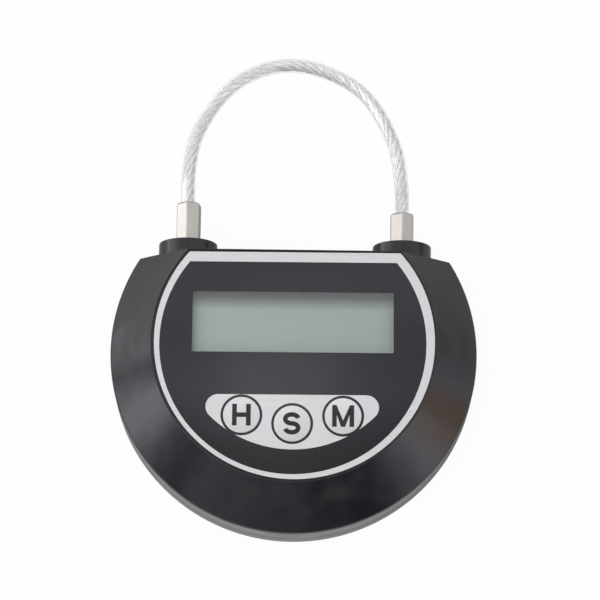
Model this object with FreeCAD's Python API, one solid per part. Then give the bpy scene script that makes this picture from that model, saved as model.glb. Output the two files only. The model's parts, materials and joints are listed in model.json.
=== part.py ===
"""Timed padlock with a wire-rope shackle, in millimetres, lying on its back.

Origin: on the back face, on the axis of the round case. +X is to the right of the display, +Y runs
from the keys to the shackle, and +Z comes out of the display. Rest is the idle state: the plug is
seated in its socket and the bolt is drawn back, so that the shackle can be pulled open.
"""

import FreeCAD, Part
import math
import os

V = FreeCAD.Vector
X = V(1, 0, 0)
Y = V(0, 1, 0)
Z = V(0, 0, 1)
O = V(0, 0, 0)

# ---------------------------------------------------------------- clearances
FIT = 0.10  # between moulded pieces that are assembled once
RUN = 0.05  # radial, round a pin or shaft that slides or turns
GAP = 0.30  # between neighbours that must never touch
PLAY = 0.20  # round the sliding bolt

# ---------------------------------------------------------------- case
CASE_R = 44.0  # radius of the round case
BEVEL_H = 10.0  # height of the sloping front band
BEVEL_W = 10.05  # how far the band runs in, level with the face
PANEL_Y = 0.4  # the front panel sits this far above the case's centre
BACK_WALL = 1.8
SIDE_WALL = 1.8
TOP_WALL = 1.8
PARTING_Z = 5.3  # where the two shells meet
LIP_H = 1.4
LIP_T = 0.9
BACK_EDGE = 0.6  # chamfer round the back face

# ---------------------------------------------------------------- front face
FACE_FLOOR = 1.3  # wall under the overlay
RECESS = 0.5  # depth of the overlay's recess
LAND = 0.25  # rim between the band and the recess
TOP_LAND = 0.25  # the same along the flat top
OVERLAY_T = 0.35
OVERLAY_GAP = 0.3
WINDOW_X = -0.1
WINDOW_DROP = 17.3  # from the overlay's top edge to the window's middle
WINDOW_MARGIN = 7.1  # overlay left beside the window's upper corners
WINDOW_H = 14.8
WINDOW_CORNER = 0.4
LENS_FLANGE = 1.4  # how far the lens reaches past the window, all round
LENS_T = 1.0
SILL = 0.3  # the shell's opening is larger than the overlay's by this much

# ---------------------------------------------------------------- keys
KEY_NAMES = ("h", "s", "m")
KEY_PITCH = 12.0
KEY_RISE = 15.47  # the outer keys, from the overlay's lower end
KEY_DROP = 1.95  # the middle key sits this much lower
KEY_X = -0.1
KEY_R = 4.37
KEY_HOLE_GAP = 0.58
KEY_PROUD = 0.2  # above the overlay
KEY_EDGE = 0.25
KEY_FLANGE = 1.2  # reach of the hidden flange
KEY_FLANGE_T = 0.8
KEY_FLANGE_GAP = 0.1
KEY_FOOT_R = 1.5
KEY_FOOT_H = 0.5
KEY_TRAVEL = 0.5
PLUNGER_R = 1.2
SWITCH_W = 5.2
SWITCH_H = 0.9

# ---------------------------------------------------------------- electronics
BOARD_T = 1.0
BOARD_GAP = 1.9  # above the battery tub, for the chips on its underside
BOARD_INSET = 2.8  # inside the case's slope
BOARD_SIDE_CUT = 2.4  # straight left and right edges, inside the round one
BOARD_NECK_GAP = 0.65  # to the two sockets
BOARD_NECK_DROP = 1.9  # the board widens this far below the sockets
BOARD_MARGIN = 2.0
LCD_MARGIN = 2.5  # glass past the window, left and right
LCD_LEDGE = 1.6  # bare edge of the rear glass that the pins hold
LCD_SEAL = 1.3  # front glass past the window, above and below
LCD_GLASS_T = 0.7
LCD_FILM_T = 0.15
LCD_PINS = 18
LCD_PIN_PITCH = 1.8
LCD_PIN_W = 0.5
BOARD_SCREW_R = 0.8
BOARD_SCREW_HEAD_R = 1.7
BOARD_SCREW_HEAD_H = 0.8
BOARD_POST_R = 2.0
BOARD_NECK_SCREW_X = 13.0
CHIP_X = 9.0
CHIP_RISE = 9.0  # above the battery tub
CHIP_W = 8.0
CHIP_T = 1.4
CHIP_LEGS = 7
DRIVER_X = 3.5
DRIVER_DROP = 6.0  # below the case's top wall
DRIVER_W = 4.0
DRIVER_L = 5.0
CRYSTAL_X = 5.0
CRYSTAL_RISE = 2.8
CRYSTAL_R = 1.5
CRYSTAL_L = 6.0
CAPACITOR_RISE = 5.0
CAPACITOR_R = 2.5
CAPACITOR_L = 7.0

# ---------------------------------------------------------------- battery
CELL_R = 5.25
CELL_L = 43.5
CELL_NUB_R = 1.9
CELL_NUB_L = 1.0
CELL_PITCH = 10.8
CELL_GAP = 0.25  # round the cells
CONTACT_ROOM = 2.9  # past each end of the cells
TUB_WALL = 1.0
TUB_INSET = 0.4  # tub to the front shell
STRIP_T = 0.4
STRIP_W = 6.0
STRIP_H = 5.6
SPRING_WIRE_R = 0.3
SPRING_TURNS = 2.5
DOOR_T = 1.4
DOOR_SINK = 0.2  # below the back face
DOOR_GAP = 0.25
DOOR_CORNER = 2.0
DOOR_TAB_W = 5.0
DOOR_TAB_L = 1.2
DOOR_TAB_T = 0.8
DOOR_TAB_X = 15.0
DOOR_LATCH_W = 8.0
DOOR_LATCH_L = 6.0
DOOR_LATCH_SLIT = 0.8
DOOR_GRIP_N = 3
DOOR_EDGE_R = 0.4  # rounded outer edge, about which the door swings

# ---------------------------------------------------------------- shackle
SHACKLE_X = 25.85  # each socket from the middle
SHACKLE_Z = 11.6
BOSS_R = 7.05
BOSS_H = 3.6
HOUSING_R = 4.6  # the socket's housing inside the case
BUSH_R = 3.5
BUSH_SINK = 0.3
PIN_R = 2.4
PIN_DEPTH = 11.0  # the plug's tip, below the flat top
GROOVE_RISE = 3.7  # the groove's middle, above the plug's tip
PIN_TIP = 0.8
GROOVE_R = 1.7
FERRULE_AF = 5.5  # across flats
FERRULE_L = 10.3
FERRULE_EDGE = 0.5
PLUG_TURN = 7.0  # the plug's corner from straight ahead, degrees
ANCHOR_SINK = 2.1  # the anchored ferrule stands in its socket
SPIGOT_R = 1.5
SPIGOT_L = 3.0
WASHER_T = 0.5
CLIP_T = 0.6
CLIP_REACH = 1.5
ROPE_R = 1.7
ROPE_HOLD = 3.3  # rope inside each ferrule

# The rope's route in the plane of the sockets, from the anchored ferrule to the plug.
ROPE_ROUTE = (
    (26.3, 46.9),
    (20.2, 61.3),
    (13.2, 68.7),
    (0.1, 73.6),
    (-12.2, 70.6),
    (-20.6, 62.6),
    (-27.0, 48.7),
)
ROPE_ARC_SHARE = 0.45  # of the shorter run, taken by each arc

# ---------------------------------------------------------------- lock train
MODULE = 0.5
PINION_TEETH = 10
PINION_SHIFT = 0.4  # profile shift, in modules
PRESSURE = math.radians(20)
BACKLASH = 0.12
PINION_W = 2.5
BOLT_T = 2.0
BOLT_NOSE_H = 5.6
BOLT_ARM_H = 2.2
BOLT_RETRACT = 0.3  # nose to pin when open
RACK_TEETH = 7
MOTOR_W = 12.0
MOTOR_H = 10.0
MOTOR_L = 9.0
GEARBOX_L = 9.0
MOTOR_ROOM = 5.33  # from the cells' tub to the motor, for wires
PINION_STANDOFF = 1.45  # gearbox to pinion
MOTOR_X = -9.5
SHAFT_R = 1.0
SHAFT_FLAT = 0.3
CHASSIS_T = 0.9
CHASSIS_GAP = 0.1
CHASSIS_RISE = 1.6  # shoulders of the chassis' pegs
GUIDE_L = 4.2
GUIDE_WALL = 1.6
CLAMP_T = 0.6
CLAMP_W = 5.0
PEG_R = 0.9
PEG_SHOULDER_R = 2.2
PEG_HEAD_R = 1.4
PEG_HEAD_H = 0.4

# ---------------------------------------------------------------- screws
SCREW_R = 1.1
SCREW_HEAD_R = 2.0
SCREW_HEAD_H = 1.3
SCREW_L = 10.0
SCREW_SINK = 0.5
SCREW_PAD = 1.6
SCREW_INSET = 7.4  # inside the case's rim
SCREW_ANGLE = math.radians(20.8)  # from the X axis
POST_R = 2.75

# ---------------------------------------------------------------- motor, from the back face up
chassis_z = BACK_WALL + CHASSIS_RISE + CHASSIS_GAP
motor_z = chassis_z + CHASSIS_T + FIT + MOTOR_H / 2
clamp_top_z = motor_z + MOTOR_H / 2 + FIT + CLAMP_T

# ---------------------------------------------------------------- levels, from the back face up
cell_z = BACK_WALL + 2 * CELL_GAP + CELL_R
tub_inner_z = cell_z + CELL_R + GAP
tub_top_z = tub_inner_z + TUB_WALL
board_z = max(tub_top_z + BOARD_GAP, clamp_top_z + GAP)
board_top_z = board_z + BOARD_T
key_foot_z = board_top_z + SWITCH_H + KEY_TRAVEL
flange_z = key_foot_z + KEY_FOOT_H
front_inner_z = flange_z + KEY_FLANGE_T + KEY_FLANGE_GAP
recess_z = front_inner_z + FACE_FLOOR
face_z = recess_z + RECESS
rim_z = face_z - BEVEL_H
lcd_z = board_top_z + FIT

# ---------------------------------------------------------------- walls
slope = BEVEL_W / BEVEL_H
band_wall = SIDE_WALL * math.hypot(slope, 1)
inner_r = CASE_R - SIDE_WALL
knee_z = rim_z - (band_wall - SIDE_WALL) / slope

# ---------------------------------------------------------------- battery tub, as low as the wall allows
tub_half_w = CELL_L / 2 + CELL_NUB_L / 2 + CONTACT_ROOM
tub_r = inner_r - TUB_INSET - TUB_WALL
tub_bottom_y = -math.sqrt(tub_r**2 - tub_half_w**2)
lower_cell_y = tub_bottom_y + CELL_GAP + CELL_R
upper_cell_y = lower_cell_y + CELL_PITCH
tub_top_y = upper_cell_y + CELL_R + CELL_GAP
cell_end_x = (CELL_L + CELL_NUB_L) / 2

# ---------------------------------------------------------------- from the tub up to the case's flat top
motor_back_y = tub_top_y + MOTOR_ROOM
gearbox_back_y = motor_back_y + MOTOR_L
gearbox_front_y = gearbox_back_y + GEARBOX_L
groove_y = gearbox_front_y + PINION_STANDOFF + PINION_W / 2
pin_end_y = groove_y - GROOVE_RISE
flat_y = pin_end_y + PIN_DEPTH
inner_top_y = flat_y - TOP_WALL
boss_top_y = flat_y + BOSS_H
housing_end_y = pin_end_y - 0.5

# ---------------------------------------------------------------- front face
panel_edge_r = CASE_R - BEVEL_W
recess_r = panel_edge_r - LAND
overlay_r = recess_r - OVERLAY_GAP
recess_top_y = flat_y - TOP_LAND
overlay_top_y = recess_top_y - TOP_LAND
window_y = overlay_top_y - WINDOW_DROP
window_top_y = window_y + WINDOW_H / 2
window_w = 2 * (math.sqrt(overlay_r**2 - (window_top_y - PANEL_Y) ** 2) - WINDOW_MARGIN)
key_y = PANEL_Y - overlay_r + KEY_RISE

# ---------------------------------------------------------------- main board
board_r = inner_r - (board_top_z - knee_z) * slope - BOARD_INSET
board_half_w = board_r - BOARD_SIDE_CUT
board_neck_half_w = SHACKLE_X - HOUSING_R - BOARD_NECK_GAP
board_neck_y = housing_end_y - BOARD_NECK_DROP

# ---------------------------------------------------------------- lock train, placed from the pin
pitch_r = MODULE * PINION_TEETH / 2
bolt_travel = PIN_R + BOLT_RETRACT
rack_ref_z = motor_z + pitch_r + PINION_SHIFT * MODULE
rack_tip_z = rack_ref_z - 0.9 * MODULE
rack_root_z = rack_ref_z + 1.25 * MODULE
nose_open_x = -SHACKLE_X + bolt_travel
housing_edge_x = -SHACKLE_X + HOUSING_R
guide_x0 = housing_edge_x + GAP
guide_x1 = guide_x0 + GUIDE_L


# ================================================================ helpers
def box(x0, x1, y0, y1, z0, z1):
    return Part.makeBox(x1 - x0, y1 - y0, z1 - z0, V(x0, y0, z0))


def rod_x(y, z, radius, x0, x1):
    return Part.makeCylinder(radius, x1 - x0, V(x0, y, z), X)


def rod_y(x, z, radius, y0, y1):
    return Part.makeCylinder(radius, y1 - y0, V(x, y0, z), Y)


def rod_z(x, y, radius, z0, z1):
    return Part.makeCylinder(radius, z1 - z0, V(x, y, z0), Z)


def cone_z(x, y, r0, r1, z0, z1):
    return Part.makeCone(r0, r1, z1 - z0, V(x, y, z0), Z)


def join(shapes):
    """The shapes as one, with the seams between their faces kept."""
    first, *rest = shapes
    return first.multiFuse(rest) if rest else first


def fuse(shapes):
    """The shapes as one, without the seams."""
    return join(shapes).removeSplitter()


def plate(x0, x1, y0, y1, z0, z1, corner):
    """A flat block with rounded upright edges."""
    block = box(x0, x1, y0, y1, z0, z1)
    upright = [e for e in block.Edges if abs(e.Vertexes[0].Z - e.Vertexes[1].Z) > (z1 - z0) / 2]
    return block.makeFillet(corner, upright)


def prism(points, direction):
    """Extrudes the closed polygon through points."""
    return Part.Face(Part.makePolygon(points + points[:1])).extrude(direction)


def below(top_y):
    """Everything under the height top_y, to cut the flat top with."""
    reach = 3 * CASE_R
    return box(-reach, reach, -reach, top_y, -reach, reach)


def taper(r0, y0, z0, r1, y1, z1):
    """A solid between two circles that needn't share an axis."""
    rings = [Part.Wire(Part.makeCircle(r, V(0, y, z), Z)) for r, y, z in ((r0, y0, z0), (r1, y1, z1))]
    return Part.makeLoft(rings, True, True)


def band_y(z):
    """Height of the band's centre at z."""
    return PANEL_Y * max(0, z - rim_z) / BEVEL_H


def room(inset, top_z):
    """The case's inner space up to top_z, this far inside its walls."""
    knee = knee_z - inset / 2
    low = rod_z(0, 0, inner_r - inset, BACK_WALL, knee)
    upper_r = inner_r - inset - (top_z - knee) * slope
    high = taper(inner_r - inset, 0, knee, upper_r, band_y(top_z), top_z)
    return fuse([low, high]).common(below(inner_top_y - inset))


def outer_body():
    """The whole case's outside, without its bosses."""
    low = rod_z(0, 0, CASE_R, 0, rim_z)
    high = taper(CASE_R, 0, rim_z, panel_edge_r, PANEL_Y, face_z)
    return fuse([low, high]).common(below(flat_y))


def screw_places():
    ring_r = CASE_R - SCREW_INSET
    x = ring_r * math.cos(SCREW_ANGLE)
    y = ring_r * math.sin(SCREW_ANGLE)
    return [(sx * x, sy * y) for sx in (-1, 1) for sy in (-1, 1)]


def key_places():
    """Each key's name, centre x and centre y."""
    offsets = (-1, 0, 1)
    return [(n, KEY_X + k * KEY_PITCH, key_y - KEY_DROP * (k == 0)) for n, k in zip(KEY_NAMES, offsets)]


def board_screw_places():
    side = board_half_w - BOARD_SCREW_HEAD_R
    top = inner_top_y - BOARD_POST_R - 0.5
    low = tub_top_y + TUB_WALL + GAP + BOARD_SCREW_HEAD_R
    return [(-side, low), (side, low), (-BOARD_NECK_SCREW_X, top), (BOARD_NECK_SCREW_X, top)]


# ================================================================ case
def bosses():
    """The two round sockets' outsides, above the flat top and inside the case."""
    outer = [rod_y(s * SHACKLE_X, SHACKLE_Z, BOSS_R, flat_y - TOP_WALL, boss_top_y) for s in (-1, 1)]
    back_edge = box(-CASE_R, CASE_R, 0, flat_y, 0, PARTING_Z)
    outer = [boss.cut(back_edge) for boss in outer]
    inner = [rod_y(s * SHACKLE_X, SHACKLE_Z, HOUSING_R, housing_end_y, flat_y) for s in (-1, 1)]
    return outer, inner


def bolt_window(reach_x):
    """The way of the bolt through the plug's bush and housing."""
    half_h = BOLT_NOSE_H / 2 + GAP
    half_t = BOLT_T / 2 + PLAY + FIT
    y0 = groove_y - half_t
    y1 = groove_y + half_t
    return box(-SHACKLE_X, reach_x, y0, y1, SHACKLE_Z - half_h, SHACKLE_Z + half_h)


def window_cut(margin, z0, z1):
    half_w = window_w / 2 + margin
    half_h = WINDOW_H / 2 + margin
    return plate(
        WINDOW_X - half_w, WINDOW_X + half_w, window_y - half_h, window_y + half_h, z0, z1, WINDOW_CORNER
    )


def front_shell():
    skin = outer_body().cut(box(-2 * CASE_R, 2 * CASE_R, -2 * CASE_R, 2 * CASE_R, -1, PARTING_Z))
    hollow = room(0, front_inner_z)
    outer, inner = bosses()
    posts = [rod_z(x, y, POST_R, BACK_WALL + SCREW_PAD + FIT, face_z) for x, y in screw_places()]
    posts += [rod_z(x, y, BOARD_POST_R, board_top_z, face_z) for x, y in board_screw_places()]
    posts = [p.common(outer_body()) for p in posts]
    shell = join([skin.cut(hollow)] + outer + inner + posts)
    cuts = [rod_y(-SHACKLE_X, SHACKLE_Z, BUSH_R + RUN, housing_end_y - 1, boss_top_y + 1)]
    cuts.append(rod_y(SHACKLE_X, SHACKLE_Z, BUSH_R + RUN, housing_end_y - 1, boss_top_y + 1))
    cuts.append(bolt_window(housing_edge_x + 1))
    cuts.append(taper(recess_r, PANEL_Y, recess_z, recess_r, PANEL_Y, face_z + 1).common(below(recess_top_y)))
    cuts.append(window_cut(SILL, front_inner_z - 1, recess_z + 1))
    cuts.append(window_cut(LENS_FLANGE + FIT, recess_z - LENS_T, recess_z + 1))
    cuts += [rod_z(x, y, KEY_R + KEY_HOLE_GAP, front_inner_z - 1, face_z) for _, x, y in key_places()]
    pilot_end_z = SCREW_SINK + SCREW_HEAD_H + SCREW_L + 0.5
    cuts += [rod_z(x, y, SCREW_R + RUN, 0, pilot_end_z) for x, y in screw_places()]
    cuts += [rod_z(x, y, BOARD_SCREW_R + RUN, board_z, front_inner_z) for x, y in board_screw_places()]
    return shell.cut(join(cuts))


def back_disc():
    """The back shell's outside with its chamfered lower edge."""
    edge = cone_z(0, 0, CASE_R - BACK_EDGE, CASE_R, 0, BACK_EDGE)
    disc = fuse([edge, rod_z(0, 0, CASE_R, BACK_EDGE, PARTING_Z)])
    return disc.common(below(flat_y))


def tub():
    """The battery tub, with its ceiling, inside the front shell's slope."""
    outer = box(
        -tub_half_w - TUB_WALL,
        tub_half_w + TUB_WALL,
        tub_bottom_y - TUB_WALL,
        tub_top_y + TUB_WALL,
        0,
        tub_top_z,
    )
    cavity = box(-tub_half_w, tub_half_w, tub_bottom_y, tub_top_y, -1, tub_inner_z)
    outer = outer.common(room(TUB_INSET, front_inner_z))
    return outer, cavity.common(room(TUB_INSET + TUB_WALL, front_inner_z))


def door_outline(margin, z0, z1):
    half_w = tub_half_w - DOOR_GAP
    bottom = tub_bottom_y + 2 * DOOR_GAP
    top = tub_top_y - DOOR_GAP
    return plate(
        -half_w - margin, half_w + margin, bottom - margin, top + margin, z0, z1, DOOR_CORNER + margin
    )


def door_recess():
    """The door's place, with square upper corners for the swing of its rounded ones."""
    half_w = tub_half_w
    top = tub_top_y
    square = box(-half_w, half_w, top - DOOR_CORNER - DOOR_GAP, top, -1, BACK_WALL + 0.5)
    return fuse([door_outline(DOOR_GAP, -1, BACK_WALL + 0.5), square])


def terminal_slots():
    """Slots in the tub's ceiling for the two terminals' tails."""
    x0 = -tub_half_w
    slots = []
    for y in terminal_tail_ys():
        slots.append(box(x0 - FIT, x0 + STRIP_T + 2 * FIT, y - 1.2, y + 1.2, tub_inner_z - 1, tub_top_z + 1))
    return slots


def locating_lip():
    """The rim of the back shell that enters the front shell."""
    ring_r = inner_r - FIT
    ring = rod_z(0, 0, ring_r, BACK_WALL, PARTING_Z + LIP_H).common(below(inner_top_y - FIT))
    hole = rod_z(0, 0, ring_r - LIP_T, BACK_WALL, PARTING_Z + LIP_H + 1)
    return ring.cut(hole.common(below(inner_top_y - FIT - LIP_T)))


def chassis_pegs():
    """Shouldered pegs through the chassis, with heat-staked heads."""
    sheet_top_z = chassis_z + CHASSIS_T
    shoulder_top_z = BACK_WALL + CHASSIS_RISE
    shoulders = [rod_z(x, y, PEG_SHOULDER_R, BACK_WALL - 0.5, shoulder_top_z) for x, y in peg_places()]
    pegs = [rod_z(x, y, PEG_R, BACK_WALL - 0.5, sheet_top_z + PEG_HEAD_H) for x, y in peg_places()]
    heads = [rod_z(x, y, PEG_HEAD_R, sheet_top_z, sheet_top_z + PEG_HEAD_H) for x, y in peg_places()]
    return shoulders + pegs + heads


def back_shell():
    hollow = rod_z(0, 0, inner_r - FIT - LIP_T, BACK_WALL, PARTING_Z + 1).common(below(inner_top_y))
    wall = back_disc().cut(hollow)
    pads = [rod_z(x, y, POST_R + 0.6, 0.5, BACK_WALL + SCREW_PAD) for x, y in screw_places()]
    tub_outer, tub_cavity = tub()
    shell = fuse([wall, locating_lip(), tub_outer] + pads + chassis_pegs())
    cuts = [tub_cavity, door_recess()]
    cuts += [rod_z(x, y, SCREW_R + 0.15, -1, BACK_WALL + SCREW_PAD + 1) for x, y in screw_places()]
    cuts += [rod_z(x, y, SCREW_HEAD_R + GAP, -1, SCREW_SINK + SCREW_HEAD_H) for x, y in screw_places()]
    cuts += terminal_slots()
    slot_top_y = tub_top_y + DOOR_TAB_L + GAP
    slot_low_z = door_tab_z() - FIT
    slot_top_z = door_tab_z() + 2.0
    half = DOOR_TAB_W / 2 + GAP
    for x in (-DOOR_TAB_X, DOOR_TAB_X):
        cuts.append(box(x - half, x + half, tub_top_y - 1, slot_top_y, slot_low_z, slot_top_z))
    return shell.cut(join(cuts))


def door_tab_z():
    """Underside of the door's tabs."""
    return DOOR_SINK + DOOR_T


def battery_door():
    door = door_outline(0, DOOR_SINK, DOOR_SINK + DOOR_T)
    outer_edge = [e for e in door.Edges if e.BoundBox.ZMax < DOOR_SINK + DOOR_T / 2]
    door = door.makeFillet(DOOR_EDGE_R, outer_edge)
    top = tub_top_y - DOOR_GAP
    bottom = tub_bottom_y + 2 * DOOR_GAP
    pieces = [door]
    for s in (-1, 1):
        x0 = s * DOOR_TAB_X - DOOR_TAB_W / 2
        riser = box(x0, x0 + DOOR_TAB_W, top - 2.0, top, door_tab_z() - 0.1, door_tab_z() + DOOR_TAB_T)
        tab = box(x0, x0 + DOOR_TAB_W, top - 0.5, top + DOOR_TAB_L, door_tab_z(), door_tab_z() + DOOR_TAB_T)
        pieces += [riser, tab]
    door = fuse(pieces)
    half = DOOR_LATCH_W / 2
    low = DOOR_SINK - 1
    high = DOOR_SINK + DOOR_T + 1
    cuts = []
    for x0 in (-half - DOOR_LATCH_SLIT, half):
        cuts.append(box(x0, x0 + DOOR_LATCH_SLIT, bottom - 1, bottom + DOOR_LATCH_L, low, high))
    for k in range(DOOR_GRIP_N):
        y0 = bottom + 1.0 + k * 1.4
        cuts.append(box(-half + 0.8, half - 0.8, y0, y0 + 0.6, low, DOOR_SINK + 0.35))
    return door.cut(join(cuts))


def case_screws():
    """Four pan-head screws with a cross recess, from the back."""
    head_top = SCREW_SINK + SCREW_HEAD_H
    screws = []
    for x, y in screw_places():
        head = rod_z(x, y, SCREW_HEAD_R, SCREW_SINK, head_top)
        shank = rod_z(x, y, SCREW_R, head_top - 0.1, head_top + SCREW_L - 1)
        tip = cone_z(x, y, SCREW_R, SCREW_R / 3, head_top + SCREW_L - 1, head_top + SCREW_L)
        cross = [
            box(x - 1.2, x + 1.2, y - 0.25, y + 0.25, 0, SCREW_SINK + 0.7),
            box(x - 0.25, x + 0.25, y - 1.2, y + 1.2, 0, SCREW_SINK + 0.7),
        ]
        screws.append(fuse([head, shank, tip]).cut(join(cross)))
    return Part.makeCompound(screws)


# ================================================================ face
def front_overlay():
    film = rod_z(0, PANEL_Y, overlay_r, recess_z, recess_z + OVERLAY_T).common(below(overlay_top_y))
    holes = [window_cut(0, recess_z - 1, face_z + 1)]
    holes += [rod_z(x, y, KEY_R + KEY_HOLE_GAP, recess_z - 1, face_z + 1) for _, x, y in key_places()]
    return film.cut(join(holes))


def display_lens():
    flange = window_cut(LENS_FLANGE, recess_z - LENS_T, recess_z)
    step = window_cut(-FIT / 2, recess_z - 0.1, recess_z + OVERLAY_T)
    return fuse([flange, step])


def key_cap(x, y):
    top_z = recess_z + OVERLAY_T + KEY_PROUD
    foot = rod_z(x, y, KEY_FOOT_R, key_foot_z, flange_z + 0.1)
    flange = rod_z(x, y, KEY_R + KEY_FLANGE, flange_z, flange_z + KEY_FLANGE_T)
    disc = rod_z(x, y, KEY_R, flange_z, top_z - KEY_EDGE)
    crown = cone_z(x, y, KEY_R, KEY_R - KEY_EDGE, top_z - KEY_EDGE, top_z)
    return fuse([foot, flange, disc, crown])


def switch_plunger(x, y):
    return rod_z(x, y, PLUNGER_R, key_foot_z - KEY_TRAVEL - 0.15, key_foot_z)


def key_switch(x, y):
    half = SWITCH_W / 2
    body = plate(x - half, x + half, y - half, y + half, board_top_z, board_top_z + SWITCH_H, 0.5)
    legs = [box(x + sx * half - 0.35, x + sx * half + 0.35, y + sy * 1.6 - 0.4, y + sy * 1.6 + 0.4,
                board_top_z, board_top_z + 0.3) for sx in (-1, 1) for sy in (-1, 1)]
    well = rod_z(x, y, PLUNGER_R + RUN, board_top_z + 0.2, board_top_z + SWITCH_H + 1)
    return fuse([body] + legs).cut(well)


# ================================================================ electronics
def lcd_block(margin_y, z0, z1, trim=0.0):
    half_w = window_w / 2 + LCD_MARGIN - trim
    half_h = WINDOW_H / 2 + margin_y - trim
    return box(WINDOW_X - half_w, WINDOW_X + half_w, window_y - half_h, window_y + half_h, z0, z1)


def lcd_parts():
    """Reflector, rear glass, front glass and polarizer, stacked on the board."""
    reach = LCD_SEAL + LCD_LEDGE
    z = lcd_z
    reflector = lcd_block(LCD_SEAL, z, z + LCD_FILM_T, 0.3)
    z += LCD_FILM_T
    rear = lcd_block(reach, z, z + LCD_GLASS_T)
    z += LCD_GLASS_T
    front = lcd_block(LCD_SEAL, z, z + LCD_GLASS_T)
    z += LCD_GLASS_T
    polarizer = lcd_block(LCD_SEAL, z, z + LCD_FILM_T, 0.3)
    return reflector, rear, front, polarizer


def lcd_pins():
    """Two rows of clips that grip the rear glass's bare edges and stand on the board."""
    ledge_z = lcd_z + LCD_FILM_T + LCD_GLASS_T
    edge = WINDOW_H / 2 + LCD_SEAL + LCD_LEDGE
    pins = []
    for side in (-1, 1):
        for k in range(LCD_PINS):
            x0 = WINDOW_X + (k - (LCD_PINS - 1) / 2) * LCD_PIN_PITCH - LCD_PIN_W / 2
            rise = sorted((window_y + side * (edge + 0.05), window_y + side * (edge + 0.3)))
            grip = sorted((window_y + side * (edge - LCD_LEDGE + 0.4), window_y + side * (edge + 0.3)))
            post = box(x0, x0 + LCD_PIN_W, *rise, board_top_z, ledge_z + 0.2)
            finger = box(x0, x0 + LCD_PIN_W, *grip, ledge_z, ledge_z + 0.2)
            pins.append(fuse([post, finger]))
    return Part.makeCompound(pins)


def main_board():
    bottom_y = key_places()[1][2] - SWITCH_W / 2 - BOARD_MARGIN
    top_y = inner_top_y - 0.5
    wide = box(-board_half_w, board_half_w, bottom_y, board_neck_y, board_z, board_top_z)
    wide = wide.common(rod_z(0, 0, board_r, board_z - 1, board_top_z + 1))
    neck = box(-board_neck_half_w, board_neck_half_w, board_neck_y - 1, top_y, board_z, board_top_z)
    board = fuse([wide, neck])
    holes = [rod_z(x, y, BOARD_SCREW_R + 0.2, board_z - 1, board_top_z + 1) for x, y in board_screw_places()]
    return board.cut(join(holes))


def board_screws():
    screws = []
    for x, y in board_screw_places():
        head = rod_z(x, y, BOARD_SCREW_HEAD_R, board_z - BOARD_SCREW_HEAD_H, board_z)
        shank = rod_z(x, y, BOARD_SCREW_R, board_z - 0.1, front_inner_z - 0.3)
        slot = box(x - 1.1, x + 1.1, y - 0.2, y + 0.2, 0, board_z - BOARD_SCREW_HEAD_H + 0.4)
        screws.append(fuse([head, shank]).cut(slot))
    return Part.makeCompound(screws)


def leaded_chip(x, y, half_x, half_y, legs, span):
    """A flat chip under the board, with a row of legs on both long sides."""
    top = board_z - 0.1
    body = box(x - half_x, x + half_x, y - half_y, y + half_y, top - CHIP_T, top)
    lower = [e for e in body.Edges if e.BoundBox.ZMax < top - CHIP_T / 2]
    body = body.makeChamfer(0.25, lower)
    parts = [body]
    for k in range(legs):
        y0 = y + (k - (legs - 1) / 2) * span / legs - 0.2
        parts.append(box(x - half_x - 0.9, x + half_x + 0.9, y0, y0 + 0.4, board_z - 0.25, board_z))
    return fuse(parts)


def timer_chip():
    return leaded_chip(CHIP_X, tub_top_y + CHIP_RISE, CHIP_W / 2, CHIP_W / 2, CHIP_LEGS, CHIP_W)


def driver_chip():
    return leaded_chip(DRIVER_X, inner_top_y - DRIVER_DROP, DRIVER_W / 2, DRIVER_L / 2, 4, DRIVER_L)


def crystal():
    y = tub_top_y + CRYSTAL_RISE
    z = board_z - CRYSTAL_R
    can = rod_x(y, z, CRYSTAL_R, CRYSTAL_X, CRYSTAL_X + CRYSTAL_L)
    pins = [rod_x(y + s * 0.6, z, 0.2, CRYSTAL_X - 1.2, CRYSTAL_X + 0.1) for s in (-1, 1)]
    return fuse([can] + pins)


def capacitor():
    x = board_neck_half_w - 1.0
    y0 = tub_top_y + CAPACITOR_RISE
    can = rod_y(x, board_z - CAPACITOR_R, CAPACITOR_R, y0, y0 + CAPACITOR_L)
    pins = [rod_y(x + s * 0.8, board_z - CAPACITOR_R, 0.25, y0 - 1.5, y0 + 0.1) for s in (-1, 1)]
    return fuse([can] + pins)


# ================================================================ battery
def battery_cell(y, nub_side):
    """A cell whose positive nub points to the left (-1) or the right (+1)."""
    flat = -nub_side * cell_end_x
    shoulder = flat + nub_side * CELL_L
    can = rod_x(y, cell_z, CELL_R, min(flat, shoulder), max(flat, shoulder))
    nub_end = nub_side * cell_end_x
    inside = shoulder - nub_side * 0.1
    nub = rod_x(y, cell_z, CELL_NUB_R, min(inside, nub_end), max(inside, nub_end))
    return fuse([can, nub])


def contact_strip(side, y0, y1):
    """A flat spring-steel strip on the tub's end wall."""
    wall = side * (tub_half_w - FIT)
    x0, x1 = sorted((wall, wall - side * STRIP_T))
    half_h = STRIP_H / 2
    return box(x0, x1, y0, y1, cell_z - half_h, cell_z + half_h)


def contact_spring(side, y):
    """A conical spring from the strip to the cell's flat end."""
    wall = side * (tub_half_w - FIT - STRIP_T)
    length = abs(wall) - cell_end_x
    pitch = (length - 2 * SPRING_WIRE_R) / SPRING_TURNS
    height = pitch * SPRING_TURNS
    base_r = STRIP_H / 2 - SPRING_WIRE_R - FIT
    tip_r = base_r * 0.6
    angle = math.degrees(math.atan2(tip_r - base_r, height))
    helix = Part.makeHelix(pitch, height, base_r, angle)
    section = Part.Wire(Part.makeCircle(SPRING_WIRE_R, V(base_r, 0, 0), Y))
    coil = Part.Wire(helix.Edges).makePipeShell([section], True, True)
    coil.rotate(O, Y, -side * 90)
    coil.translate(V(wall - side * SPRING_WIRE_R, y, cell_z))
    return coil


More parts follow.
